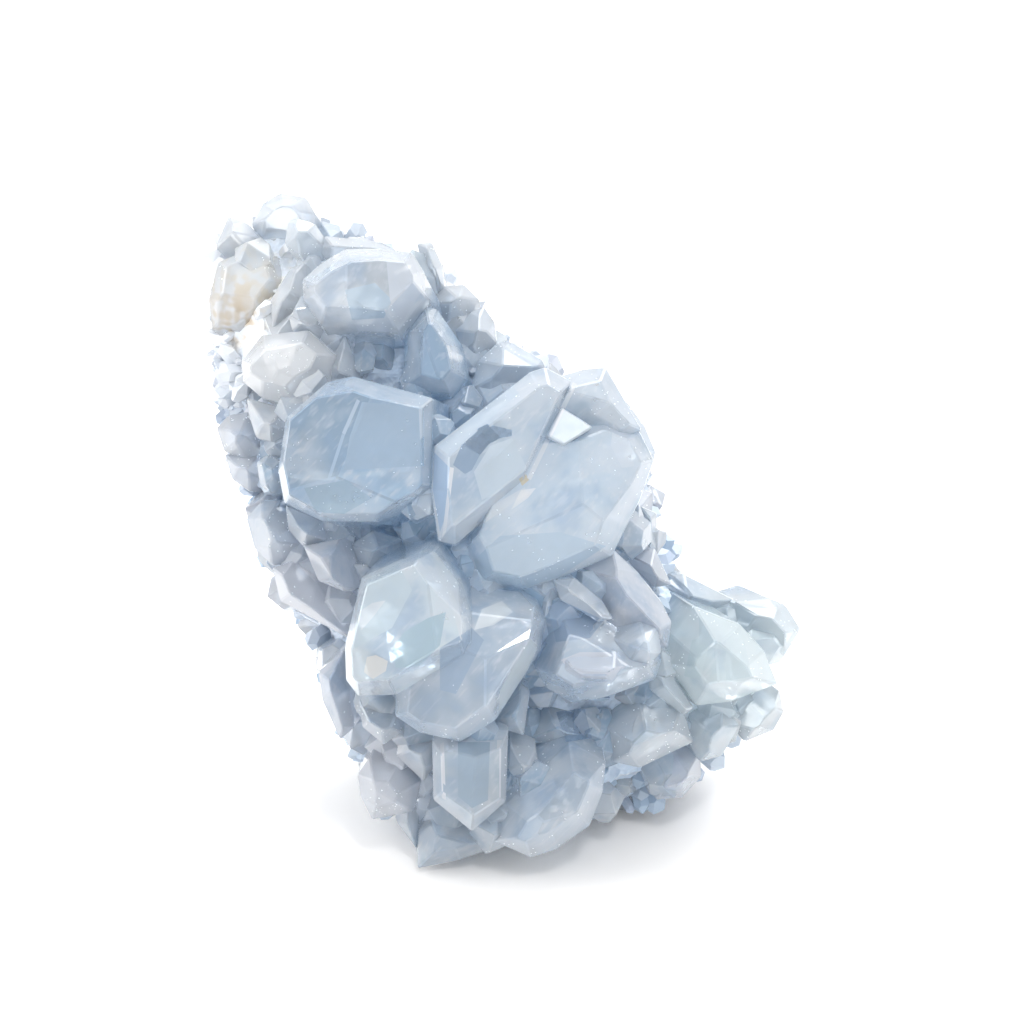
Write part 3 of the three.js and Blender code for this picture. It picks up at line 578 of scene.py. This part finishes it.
def chances(seed):
    state = seed

    def chance(low, high):
        nonlocal state
        state = (state + 0x6D2B79F5) & 0xFFFFFFFF
        stirred = ((state ^ (state >> 15)) * (1 | state)) & 0xFFFFFFFF
        stirred = ((stirred + ((stirred ^ (stirred >> 7)) * (61 | stirred) & 0xFFFFFFFF))
            & 0xFFFFFFFF) ^ stirred
        return low + ((stirred ^ (stirred >> 14)) & 0xFFFFFFFF) / 4294967296 * (high - low)

    return chance


def grown_crystal(root, axis, roll, length, width, sunk, look, edge):
    reference = Vector((1, 0, 0)) if abs(axis.dot(OUT)) > 0.8 else OUT
    across = axis.cross(reference).normalized()
    other = axis.cross(across)

    def around(turn):
        angle = math.radians(turn + roll)
        return across * math.cos(angle) + other * math.sin(angle)

    tip = root + axis * length
    faces = []
    for turn, slope in zip(PRISM_TURNS, TIP_SLOPES):
        outward, slope = around(turn), math.radians(slope)
        faces.append((outward, root + outward * width * 0.5))
        faces.append((outward * math.sin(slope) + axis * math.cos(slope), tip + outward * width * 0.12))
    for turn in (90, 270):
        faces.append((around(turn), root + around(turn) * width * 0.46))
    faces.append((-axis, root - axis * sunk))
    return cut_block(root + axis * length / 2, 0.06, faces, look, edge, tip.dot(OUT))


chance = chances(29)
druse_looks = (CLEAR, GREY, VIOLET, CLEAR, FROSTED)
face_middle = on_face(CRUST_MIDDLE, 0)
druse = []
for row, (out, size, lean, spacing, lengths, widths) in enumerate(DRUSE_ROWS):
    for i, (x, y) in enumerate(CRUST_OUTLINE):
        if i % spacing != row % spacing or i in BARE:
            continue
        drawn_at = [m + (c - m) * size for m, c in zip(CRUST_MIDDLE, (x, y))]
        thickness = 0.74 + (drawn_at[1] - 195) / 675 * (1.22 - 0.74)
        root = on_face(drawn_at, out * thickness)
        away = root - face_middle
        turn = math.degrees(math.atan2(away.dot(UP), away.dot(ACROSS))) + chance(-25, 25)
        axis = facing(turn, lean + chance(-16, 16))
        roll, length, width = chance(0, 180), chance(*lengths) * MM, chance(*widths) * MM
        look = druse_looks[i % 5] if drawn_at[1] > 430 else (FROSTED, CLEAR, PALE)[i % 3]
        druse.append(grown_crystal(root, axis, roll, length, width, SUNK, look, 0.12 * MM))
crystals = joined(crystals, druse)

# Smaller crystals fill the gaps between the large ones, wherever the surface lies well below what
# is round it. They grew out of the crust and into their neighbours.
GAP_STEP = 13
GAP_REACH = 24
GAP_DEPTH = 3.5 * MM


def sight(point):
    eye = placed(across, up, DRAWN_FROM)
    return eye, (on_face(point, 0) - eye).normalized()


def surface_at(shells, point):
    eye, way = sight(point)
    hits = [shell.ray_cast(eye, way)[:2] for shell in shells]
    hits = [hit for hit in hits if hit[0]]
    return min(hits, key=lambda hit: (hit[0] - eye).length) if hits else (None, None)


shells = [BVHTree.FromObject(piece, bpy.context.evaluated_depsgraph_get()) for piece in (crystals, crust)]
chance = chances(53)
gap_looks = (DEEP, BLUE, DEEP, BLUE, GREY, DEEP)
gap_crystals = []
for y in range(250, 830, GAP_STEP):
    for x in range(230, 770, GAP_STEP):
        point = (x + chance(-5, 5), y + chance(-5, 5))
        root, outward = surface_at(shells, point)
        bare = surface_at(shells[1:], point)[0]
        axis = facing(chance(0, 360), chance(8, 42))
        roll, length, width = chance(0, 180), chance(1.5, 5) * MM, chance(3.5, 7.5) * MM
        look = gap_looks[int(chance(0, 6))]
        if root is None or (root != bare and outward.dot(OUT) > 0.9):
            continue
        around = [surface_at(shells, (point[0] + GAP_REACH * dx, point[1] + GAP_REACH * dy))[0]
                  for dx, dy in ((1, 0), (-1, 0), (0, 1), (0, -1))]
        rise = [(at - root).dot(OUT) for at in around if at]
        if len(rise) < 4 or sorted(rise)[1] < GAP_DEPTH:
            continue
        length = min(length, sorted(rise)[1] * 0.6)
        gap_crystals.append(grown_crystal(root, axis, roll, length, width, 4 * MM, look, 0.1 * MM))
crystals = joined(crystals, gap_crystals)

# Inside the crystals: healed cracks, which are thin hollows that flash, and veils, which are thin
# sheets of tiny bubbles or of clay, most of them close under a face.
CRACKS = 24
VEILS = 6
SHEET = 0.06 * MM
WHITE = (0.95, 0.97, 1.0)
SEA = (0.5, 0.64, 0.8)
# The veils that show: tone, density, depth under the face in millimetres, and places on the drawing.
SHOWN_VEILS = [
    (WHITE, 0.65, 0.8, [(282, 475), (304, 475), (329, 473), (352, 473), (385, 469), (386, 474), (352, 478),
     (304, 481)]),
    (WHITE, 0.75, 1.5, [(306, 468), (325, 471), (323, 477), (308, 476)]),
    (WHITE, 0.45, 1.2, [(300, 500), (340, 512), (390, 500), (415, 470), (418, 492), (378, 514),
     (322, 515)]),
    (WHITE, 0.62, 0.5, [(460, 532), (490, 510), (524, 489), (530, 493), (500, 514), (466, 540)]),
    (WHITE, 0.5, 0.5, [(438, 449), (470, 426), (505, 400), (512, 404), (478, 428), (446, 456)]),
    (WHITE, 0.38, 1.6, [(520, 505), (548, 520), (575, 528), (600, 520), (606, 500), (590, 480), (565, 478),
     (545, 500)]),
    (WHITE, 0.6, 0.8, [(560, 526), (575, 528), (592, 524), (590, 518), (574, 521)]),
    (WHITE, 0.55, 0.8, [(366, 606), (384, 600), (392, 606), (376, 620), (368, 640), (362, 632)]),
    (WHITE, 0.7, 0.6, [(386, 646), (396, 636), (412, 622), (414, 624), (400, 638), (390, 650)]),
    (WHITE, 1.00, 0.6, [(472, 633), (482, 608), (502, 600), (513, 612), (492, 625)]),
    (SEA, 0.5, 1.6, [(450, 662), (480, 635), (520, 622), (527, 630), (485, 680), (462, 705), (438, 705)]),
    (WHITE, 0.55, 0.8, [(486, 690), (528, 640), (536, 640), (534, 655), (500, 704), (478, 712)]),
    (WHITE, 0.7, 0.6, [(637, 640), (650, 634), (656, 640), (655, 656), (646, 650)]),
    (WHITE, 0.85, 0.6, [(318, 323), (346, 321), (347, 325), (320, 328)]),
    (WHITE, 0.7, 0.8, [(354, 314), (378, 305), (379, 309), (356, 318)]),
    (WHITE, 0.7, 0.6, [(393, 272), (410, 264), (411, 268), (396, 275)]),
    (WHITE, 0.8, 0.8, [(308, 332), (330, 332), (336, 350), (322, 366), (310, 350)]),
    (WHITE, 0.7, 0.8, [(262, 350), (280, 340), (296, 346), (290, 366), (270, 372)]),
    (WHITE, 0.8, 0.5, [(575, 776), (582, 778), (580, 790), (575, 786)]),
    (WHITE, 0.8, 0.5, [(550, 806), (557, 804), (556, 812), (549, 812)]),
]


def as_veil(piece, tone, density):
    mesh = piece.data
    mesh.attributes.new("tint", "FLOAT_COLOR", "FACE").data.foreach_set("color",
        [*tone, 1] * len(mesh.polygons))
    mesh.attributes.new("veil", "FLOAT", "FACE").data.foreach_set("value", [density] * len(mesh.polygons))
    return piece


def rumpled(piece, waviness, seed):
    bpy.ops.object.mode_set(mode="EDIT")
    bpy.ops.mesh.select_all(action="SELECT")
    bpy.ops.mesh.poke()
    bpy.ops.mesh.subdivide(number_cuts=2)
    bpy.ops.transform.vertex_random(offset=waviness, seed=seed)
    bpy.ops.object.mode_set(mode="OBJECT")
    return with_modifier(piece, "SOLIDIFY", thickness=SHEET, offset=0)


def under_face(shell, point, depth):
    return (surface_at([shell], point)[0] or on_face(point, 0)) + sight(point)[1] * depth * MM


def drawn_veil(shell, tone, density, depth, points, seed):
    piece = drawn_ring([under_face(shell, point, depth) for point in points])
    bpy.ops.object.mode_set(mode="EDIT")
    bpy.ops.mesh.select_all(action="SELECT")
    bpy.ops.mesh.edge_face_add()
    return as_veil(rumpled(piece, 0.15 * MM, seed), tone, density)


def grown_sheet(spot, outward, radius, seed):
    bpy.ops.object.select_all(action="DESELECT")
    bpy.ops.mesh.primitive_circle_add(vertices=9, radius=radius, fill_type="NGON")
    piece = bpy.context.object
    bpy.ops.object.mode_set(mode="EDIT")
    bpy.ops.transform.vertex_random(offset=radius * 0.45, seed=seed)
    bpy.ops.object.mode_set(mode="OBJECT")
    turned = outward.to_track_quat("Z", "Y").to_matrix().to_4x4()
    turned.translation = spot
    piece.data.transform(turned)
    return rumpled(piece, radius * 0.04, seed)


def inside_spot(row, chance):
    look, out, rim, slopes, roofs = row
    middle = [sum(p[k] for p in rim) / len(rim) for k in (0, 1)]
    at = rim[int(chance(0, len(rim)))]
    share = chance(0.1, 0.8)
    breadth = math.sqrt(sum((p[0] - middle[0]) ** 2 + (p[1] - middle[1]) ** 2 for p in rim) / len(rim)) * UNIT
    return on_face([m + (c - m) * share for m, c in zip(middle, at)], out - chance(-3, 5)), breadth


chance = chances(5)
smaller = [row for row in FRONT[5:]
    for _ in range(int(max(p[0] for p in row[2]) - min(p[0] for p in row[2])) // 20)]
cracks, veils = [], []
for i in range(CRACKS + VEILS):
    spot, breadth = inside_spot(smaller[int(chance(0, len(smaller)))], chance)
    outward = facing(chance(0, 360), chance(35, 90))
    if i < CRACKS:
        cracks.append(as_veil(grown_sheet(spot, outward, breadth * chance(0.2, 0.5), i), (0.93, 0.96, 1.0),
            0.5))
    else:
        veils.append(as_veil(grown_sheet(spot, outward, breadth * chance(0.3, 0.7), i), WHITE, 0.5))
shell = BVHTree.FromObject(crystals, bpy.context.evaluated_depsgraph_get())
veils += [drawn_veil(shell, *row, i) for i, row in enumerate(SHOWN_VEILS)]
veils = joined(veils[0], veils[1:])
veils.name = "veils"
inner = crystals.copy()
inner.data = crystals.data.copy()
veils = joined(veils, [inner], "INTERSECT")
crystals = stood_on_floor(joined(crystals, cracks, "DIFFERENCE"))

# Patches of another tone are cut into the faces along straight lines. Some are painted reflections and
# highlights, such as the dark band of an inner reflection in the great crystal and the white lines along
# ridges and edges. The rest are tones of inner facets and bands. Each row is its tone, and its corners on the
# drawing.
PAINTED_REFLECTIONS_AND_TONES = [
    # Painted reflection: the dark band of an inner reflection in the great crystal's table.
    ((0.34, 0.45, 0.58), [(453, 465), (462, 444), (480, 455), (472, 470), (465, 474)]),
    ((0.22, 0.3, 0.4), [(462, 444), (477, 429), (489, 444), (480, 455)]),
    ((0.2, 0.28, 0.37), [(477, 429), (487, 424), (501, 438), (489, 444)]),
    ((0.3, 0.4, 0.52), [(487, 424), (512, 430), (512, 436), (501, 438)]),
    ((0.74, 0.83, 0.89), [(490, 446), (512, 438), (527, 468), (516, 486), (482, 500), (474, 472)]),
    ((0.52, 0.66, 0.84), [(434, 452), (450, 468), (446, 515), (440, 532), (433, 490)]),
    ((1.0, 1.0, 1.0), [(450, 467), (454, 468), (446, 532), (442, 538)]),
    ((0.84, 0.9, 0.95), [(452, 528), (525, 487), (527, 493), (462, 539)]),
    ((0.74, 0.83, 0.91), [(437, 447), (512, 386), (519, 393), (450, 456)]),
    # Painted highlight: the white line along the ridge between the great crystal's halves.
    ((1.0, 1.0, 1.0), [(573, 382), (577, 384), (531, 480), (527, 478)]),
    ((0.84, 0.72, 0.5), [(519, 479), (526, 474), (529, 480), (522, 486)]),
    ((1.0, 1.0, 1.0), [(511, 510), (521, 490), (536, 488), (528, 498)]),
    ((0.6, 0.72, 0.82), [(474, 560), (500, 536), (560, 532), (606, 546), (560, 576), (525, 588),
     (480, 580)]),
    ((0.56, 0.72, 0.79), [(392, 650), (404, 632), (428, 618), (446, 612), (440, 645), (420, 666),
     (396, 668)]),
    ((0.76, 0.87, 0.92), [(356, 612), (366, 580), (398, 564), (412, 590), (392, 628), (352, 650)]),
    ((0.94, 0.98, 1.0), [(447, 590), (452, 590), (470, 640), (464, 652)]),
    ((0.38, 0.53, 0.65), [(304, 488), (346, 480), (372, 498), (344, 514), (316, 512)]),
    ((0.48, 0.62, 0.76), [(362, 402), (424, 408), (424, 466), (344, 470), (350, 436)]),
    ((1.0, 1.0, 1.0), [(252, 392), (296, 396), (322, 376), (318, 396), (296, 404)]),
    ((0.72, 0.83, 0.86), [(692, 640), (712, 634), (700, 680), (684, 676)]),
    ((0.7, 0.81, 0.86), [(726, 640), (744, 640), (752, 676), (726, 682)]),
    ((0.64, 0.76, 0.88), [(357, 399), (360, 401), (345, 435), (342, 433)]),
    ((0.54, 0.68, 0.82), [(342, 434), (345, 435), (330, 481), (327, 480)]),
    ((0.74, 0.84, 0.93), [(418, 392), (423, 392), (424, 436), (420, 440)]),
    ((0.86, 0.91, 0.96), [(613, 424), (630, 442), (634, 466), (622, 468), (611, 446)]),
    ((0.7, 0.8, 0.85), [(699, 606), (746, 606), (746, 656), (699, 644)]),
    ((0.9, 0.95, 0.98), [(356, 614), (372, 603), (388, 600), (374, 616), (362, 632)]),
    ((0.94, 0.96, 0.98), [(262, 338), (306, 334), (300, 360), (262, 366)]),
    ((1.0, 1.0, 1.0), [(306, 334), (332, 356), (316, 376), (300, 360)]),
    ((0.9, 0.93, 0.97), [(246, 366), (262, 366), (276, 396), (258, 396)]),
    ((1.0, 1.0, 1.0), [(262, 366), (300, 360), (316, 376), (296, 392), (276, 390)]),
    ((0.98, 0.96, 0.9), [(367, 657), (376, 655), (388, 661), (386, 671), (373, 679), (364, 672)]),
    ((0.62, 0.74, 0.84), [(345, 290), (375, 283), (392, 300), (384, 318), (352, 320)]),
    ((0.84, 0.88, 0.93), [(386, 256), (413, 258), (423, 290), (400, 325), (390, 300)]),
    ((0.46, 0.58, 0.72), [(440, 648), (472, 628), (484, 640), (456, 694), (440, 690)]),
    ((0.84, 0.9, 0.94), [(474, 630), (482, 609), (502, 601), (513, 612), (494, 625)]),
    ((0.76, 0.85, 0.9), [(500, 690), (530, 640), (538, 644), (520, 690), (498, 712)]),
    ((0.5, 0.62, 0.78), [(548, 607), (560, 600), (604, 620), (590, 638), (556, 642)]),
    ((0.82, 0.86, 0.93), [(560, 660), (580, 652), (612, 652), (628, 664), (612, 680), (580, 678)]),
    ((0.34, 0.46, 0.62), [(556, 712), (584, 706), (592, 738), (566, 742)]),
    ((0.48, 0.6, 0.71), [(458, 742), (490, 742), (488, 800), (472, 808), (458, 796)]),
    # Painted highlights: white lines along the foot prism's edges.
    ((0.95, 0.97, 1.0), [(440, 744), (444, 742), (446, 800), (442, 798)]),
    ((0.95, 0.97, 1.0), [(497, 740), (502, 740), (501, 800), (497, 804)]),
]


def drawn_inside(point, corners):
    turns = []
    for (x, y), (u, v) in zip(corners, corners[1:] + corners[:1]):
        turns.append((u - x) * (point[1] - y) - (v - y) * (point[0] - x))
    return min(turns) > 0 or max(turns) < 0


def seen_faces(piece, corners):
    shell = BVHTree.FromObject(piece, bpy.context.evaluated_depsgraph_get())
    lows, highs = [min(c[k] for c in corners) for k in (0, 1)], [max(c[k] for c in corners) for k in (0, 1)]
    middle = [sum(c[k] for c in corners) / len(corners) for k in (0, 1)]
    points = [[m + (c - m) * 0.94 for m, c in zip(middle, corner)] for corner in corners]
    points += [(x, y) for x in range(lows[0], highs[0], 3) for y in range(lows[1], highs[1], 3)]
    eye = sight(points[0])[0]
    hits = [shell.ray_cast(eye, sight(point)[1])[2] for point in points if drawn_inside(point, corners)]
    return {hit for hit in hits if hit is not None and piece.data.polygons[hit].material_index != 1}


def paint_patch(piece, tone, corners):
    mesh = piece.data
    seen = seen_faces(piece, corners)
    bpy.context.view_layer.objects.active = piece
    bpy.ops.object.mode_set(mode="EDIT")
    bpy.ops.mesh.select_mode(type="FACE")
    bpy.ops.mesh.select_all(action="DESELECT")
    bpy.ops.object.mode_set(mode="OBJECT")
    for face in seen:
        mesh.polygons[face].select = True
    bpy.ops.object.mode_set(mode="EDIT")
    bpy.ops.mesh.hide(unselected=True)
    for corner, following in zip(corners, corners[1:] + corners[:1]):
        eye, way = sight(corner)
        bpy.ops.mesh.select_all(action="SELECT")
        bpy.ops.mesh.bisect(plane_co=eye, plane_no=way.cross(sight(following)[1]).normalized(),
            threshold=1e-7)
    bpy.ops.mesh.reveal()
    bpy.ops.object.mode_set(mode="OBJECT")
    for face in seen_faces(piece, corners):
        mesh.polygons[face].material_index = MILKY
        mesh.attributes["tint"].data[face].color = (*tone, 1)
        mesh.attributes["shown"].data[face].value = 1


crystals.data.attributes.new("shown", "FLOAT", "FACE")
for tone, corners in PAINTED_REFLECTIONS_AND_TONES:
    paint_patch(crystals, tone, corners)


# The stone: glassy and tinted, whiter where it is cloudy, and darker and bluer at depth, which is painted
# shade of the crevices. Its edges are worn dull and carry a painted highlight, the sloping faces near the
# tips are painted lighter, and frosted crystals and the painted patches of inner facets are milky.
def given(tree, name, output="Fac"):
    return made_node(tree, "ShaderNodeAttribute", {"attribute_name": name}).outputs[output]


def along_fibres(tree):
    return made_node(tree, "ShaderNodeMapping", {"vector_type": "TEXTURE"}, Vector=place_of(tree),
                     Rotation=(0, -0.9, 0), Scale=(6, 1, 1)).outputs["Vector"]


def celestite(name, see_through, dull, depth_shade_strength):
    material = bpy.data.materials.new(name)
    material.use_nodes = True
    tree = material.node_tree
    shader = tree.nodes["Principled BSDF"]
    level = made_node(tree, "ShaderNodeVectorMath", {"operation": "DOT_PRODUCT"}, i0=place_of(tree),
        i1=tuple(OUT))
    # Painted shade: darker and bluer the further a point lies below its crystal's tip, as in the crevices
    # between crystals.
    depth = sums(tree, "SUBTRACT", given(tree, "tip"), level.outputs["Value"])
    painted_depth_shade = steps(tree, depth, 7 * MM, 15 * MM)
    # Painted highlight: faces that slope away from the front near a crystal's tip are made paler.
    leaning = made_node(tree, "ShaderNodeVectorMath", {"operation": "DOT_PRODUCT"},
                        i0=tree.nodes.new("ShaderNodeNewGeometry").outputs["Normal"], i1=tuple(OUT))
    painted_slope_highlight = sums(tree, "MULTIPLY", steps(tree, leaning.outputs["Value"], 0.85, 0.45),
        steps(tree, depth, 9 * MM, 4 * MM))
    body = mixed(tree, sums(tree, "MULTIPLY", painted_depth_shade, depth_shade_strength), given(tree, "tint", "Color"),
        (0.31, 0.45, 0.64))
    body = mixed(tree, sums(tree, "MULTIPLY", painted_slope_highlight, 0.6), body, (0.90, 0.95, 1.0))
    drifts = made_node(tree, "ShaderNodeTexNoise", {}, Vector=place_of(tree), Scale=1 / (8 * MM),
        Detail=3.0).outputs["Fac"]
    cloudy = sums(tree, "MULTIPLY", steps(tree, drifts, 0.42, 0.66), given(tree, "veil"))
    streaks = made_node(tree, "ShaderNodeTexNoise", {}, Vector=along_fibres(tree), Scale=1 / (0.8 * MM),
        Detail=1.0).outputs["Fac"]
    cloudy = sums(tree, "ADD", cloudy, sums(tree, "MULTIPLY", steps(tree, streaks, 0.5, 0.75), 0.3))
    hollows = sums(tree, "MULTIPLY", steps(tree, drifts, 0.5, 0.32), 0.55)
    body = mixed(tree, hollows, body, (0.42, 0.55, 0.72))
    body = mixed(tree, cloudy, body, (0.92, 0.95, 0.98))
    # The painted patches, reflections, highlights and inner tones, take their own tint.
    body = mixed(tree, sums(tree, "MULTIPLY", given(tree, "shown"), 0.85), body,
        given(tree, "tint", "Color"))
    dots = made_node(tree, "ShaderNodeTexNoise", {}, Vector=place_of(tree), Scale=1 / (0.4 * MM),
        Detail=0.0).outputs["Fac"]
    specks = sums(tree, "MULTIPLY", steps(tree, dots, 0.76, 0.84), steps(tree, drifts, 0.5, 0.6))
    body = mixed(tree, sums(tree, "MULTIPLY", specks, 0.2), body, (1.0, 1.0, 1.0))
    # Painted highlight: the bevel faces are made paler, and rougher as worn edges.
    body = mixed(tree, sums(tree, "MULTIPLY", given(tree, "worn_and_highlit"), 0.7), body, (0.92, 0.95, 0.98))
    linked(tree, shader.inputs["Base Color"], stained_and_painted_light(tree, body))
    rough = sums(tree, "MULTIPLY_ADD", given(tree, "frost"), 0.6)
    rough.node.inputs[2].default_value = dull
    rough = sums(tree, "ADD", rough, sums(tree, "MULTIPLY", given(tree, "worn_and_highlit"), 0.25))
    rough = sums(tree, "ADD", rough, sums(tree, "MULTIPLY", specks, 0.4))
    linked(tree, shader.inputs["Roughness"], rough)
    shader.inputs["Transmission Weight"].default_value = see_through
    shader.inputs["IOR"].default_value = 1.62
    ripple = made_node(tree, "ShaderNodeTexNoise", {}, Vector=place_of(tree), Scale=1 / (2.5 * MM),
        Detail=0.0)
    linked(tree, shader.inputs["Normal"], made_node(
        tree, "ShaderNodeBump", {}, Strength=0.15, Distance=0.2 * MM,
            Height=ripple.outputs["Fac"]).outputs["Normal"])
    absorbed = made_node(tree, "ShaderNodeVolumeAbsorption", {}, Color=(0.56, 0.74, 0.88), Density=8)
    tree.links.new(absorbed.outputs["Volume"], tree.nodes["Material Output"].inputs["Volume"])
    return material


clear = celestite("clear celestite", 0.64, 0.06, 0.8)
milky = celestite("milky celestite", 0.3, 0.2, 0.15)

# The bevel faces: a pale mottled tone, a painted highlight along every edge.
painted_edge_highlight = bpy.data.materials.new("painted edge highlight")
painted_edge_highlight.use_nodes = True
tree = painted_edge_highlight.node_tree
shader = tree.nodes["Principled BSDF"]
linked(tree, shader.inputs["Base Color"], mixed(
    tree, clouds(tree, 2.2 * MM, 0.42, 0.62), (0.5, 0.61, 0.74), (0.86, 0.9, 0.94)))
shader.inputs["Roughness"].default_value = 0.3

veiled = bpy.data.materials.new("veil")
veiled.use_nodes = True
tree = veiled.node_tree
shader = tree.nodes["Principled BSDF"]
linked(tree, shader.inputs["Base Color"], given(tree, "tint", "Color"))
shader.inputs["Roughness"].default_value = 0.5
fibrous = made_node(tree, "ShaderNodeTexNoise", {}, Vector=along_fibres(tree), Scale=1 / (1.2 * MM),
    Detail=0.0)
shown = sums(tree, "ADD", fibrous.outputs["Fac"], given(tree, "veil"))
linked(tree, shader.inputs["Alpha"], steps(tree, shown, 0.7, 1.5))
for piece, materials in ((crystals, (clear, painted_edge_highlight, milky)), (veils, (veiled,))):
    piece.data.materials.clear()
    for material in materials:
        piece.data.materials.append(material)
    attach(piece, "root")
    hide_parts("celestite_cluster")


# The sugar: hundreds of small crystals that line the crust between the large ones and round its rim.
GROWN = 900
LENGTHS = (1.2, 4.4)
TEMPLATES = [(1.0, 0.9), (0.8, 1.1), (1.3, 0.8)]  # lengths and widths of three crystals to copy
RIM_TINTS = [(0.6, 0.67, 0.76), (0.56, 0.64, 0.75), (0.62, 0.66, 0.75), (0.72, 0.76, 0.82)]
CREVICE_SHADE_TINTS = [(0.42, 0.54, 0.69), (0.5, 0.6, 0.73), (0.46, 0.55, 0.69), (0.56, 0.65, 0.76)]

patterns = []
for length, width in TEMPLATES:
    pattern = grown_crystal(Vector(), Vector((0, 0, 1)), 0, length * MM, width * MM, 0.5 * MM, CLEAR, 0)
    patterns.append(pattern)
shell = BVHTree.FromObject(crystals, bpy.context.evaluated_depsgraph_get())
grounds = [(face.center.copy(), face.normal.copy()) for face in crust.data.polygons]
chance = chances(31)
grown = []
while len(grown) < GROWN:
    spot, outward = grounds[int(chance(0, len(grounds)))]
    if outward.dot(OUT) < -0.3 or spot.z < 2 * MM:
        continue
    hit, normal, _, _ = shell.ray_cast(spot, OUT)
    if hit is not None and normal.dot(OUT) > 0:
        continue
    stray = Vector((chance(-1, 1), chance(-1, 1), chance(-1, 1)))
    axis = (outward + OUT * 0.3 + stray * 0.5).normalized()
    size = LENGTHS[0] + (LENGTHS[1] - LENGTHS[0]) * chance(0, 1) ** 2.4
    end = spot + axis * size * MM
    eye = placed(across, up, DRAWN_FROM)
    behind = shell.ray_cast(end, end - eye)[0]
    if behind is not None and shell.ray_cast(end, eye - end)[0] is None:
        continue
    if min(end.z, spot.z) < size * 0.6 * MM or any(abs(end[k]) > cad_box[1][k] for k in (0, 1)):
        continue
    pattern = patterns[int(chance(0, 3))]
    crystal = pattern.copy()
    crystal.data = pattern.data.copy()
    bpy.context.collection.objects.link(crystal)
    turned = axis.to_track_quat("Z", "Y").to_matrix().to_4x4()
    turned @= Matrix.Rotation(chance(0, 6.28), 4, "Z") @ Matrix.Diagonal((size * chance(0.35, 1.1),
        size * chance(0.7, 1.3), size, 1))
    turned.translation = spot - axis * size * 0.2 * MM
    crystal.data.transform(turned)
    # Those lower down, between the large crystals, take darker and bluer tints: painted shade of the
    # crevices.
    tint = (RIM_TINTS if spot.z > 62 * MM else CREVICE_SHADE_TINTS)[int(chance(0, 4))]
    crystal.data.attributes["tint"].data.foreach_set("color", [*tint, 1] * len(crystal.data.polygons))
    grown.append(crystal)
for pattern in patterns:
    bpy.data.objects.remove(pattern)
bpy.ops.object.select_all(action="DESELECT")
for crystal in grown:
    crystal.select_set(True)
bpy.context.view_layer.objects.active = grown[0]
bpy.ops.object.join()
sugar = bpy.context.object
sugar.name = "sugar"

sugary = bpy.data.materials.new("sugar")
sugary.use_nodes = True
tree = sugary.node_tree
shader = tree.nodes["Principled BSDF"]
linked(tree, shader.inputs["Base Color"], stained_and_painted_light(tree, given(tree, "tint", "Color")))
shader.inputs["Roughness"].default_value = 0.25
shader.inputs["Transmission Weight"].default_value = 0.2
shader.inputs["IOR"].default_value = 1.62
sugar.data.materials.clear()
sugar.data.materials.append(sugary)
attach(sugar, "root")
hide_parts("celestite_cluster")


# The studio: a white floor, bright walls and soft lights, as for a photograph of a mineral.
bpy.ops.mesh.primitive_plane_add(size=6, location=(0, 0, -0.1 * MM))
floor = bpy.context.object
floor.name = "floor"
white = bpy.data.materials.new("floor")
white.use_nodes = True
white.node_tree.nodes["Principled BSDF"].inputs["Base Color"].default_value = (0.93, 0.92, 0.91, 1)
white.node_tree.nodes["Principled BSDF"].inputs["Roughness"].default_value = 0.9
floor.data.materials.append(white)
# The studio's walls: bright overhead and behind, dimmer where the camera stands.
world = bpy.data.worlds.new("studio")
world.use_nodes = True
tree = world.node_tree
towards = made_node(tree, "ShaderNodeVectorMath", {"operation": "DOT_PRODUCT"}, i0=place_of(tree),
    i1=(0, 0.45, 0.9))
walls = steps(tree, towards.outputs["Value"], -0.7, 0.9)
linked(tree, tree.nodes["Background"].inputs["Color"], mixed(tree, walls, (1.08, 1.08, 1.08),
    (1.22, 1.21, 1.20)))
tree.nodes["Background"].inputs["Strength"].default_value = 1.0
scene.world = world


def softbox(name, place, aim, size, power):
    bpy.ops.object.light_add(type="AREA", location=place)
    lamp = bpy.context.object
    lamp.name = name
    lamp.data.shape = "RECTANGLE"
    lamp.data.size, lamp.data.size_y = size
    lamp.data.energy = power
    lamp.rotation_euler = (Vector(aim) - Vector(place)).to_track_quat("-Z", "Y").to_euler()


softbox("key", (0.15, -0.6, 0.87), (0.01, 0, 0.06), (0.1, 0.12), 2.1)
softbox("top", (0.3, 0.5, 0.9), (0, 0, 0.04), (0.9, 0.9), 10)
softbox("side", (-0.9, -0.1, 0.5), (0, 0, 0.04), (0.5, 0.7), 4)
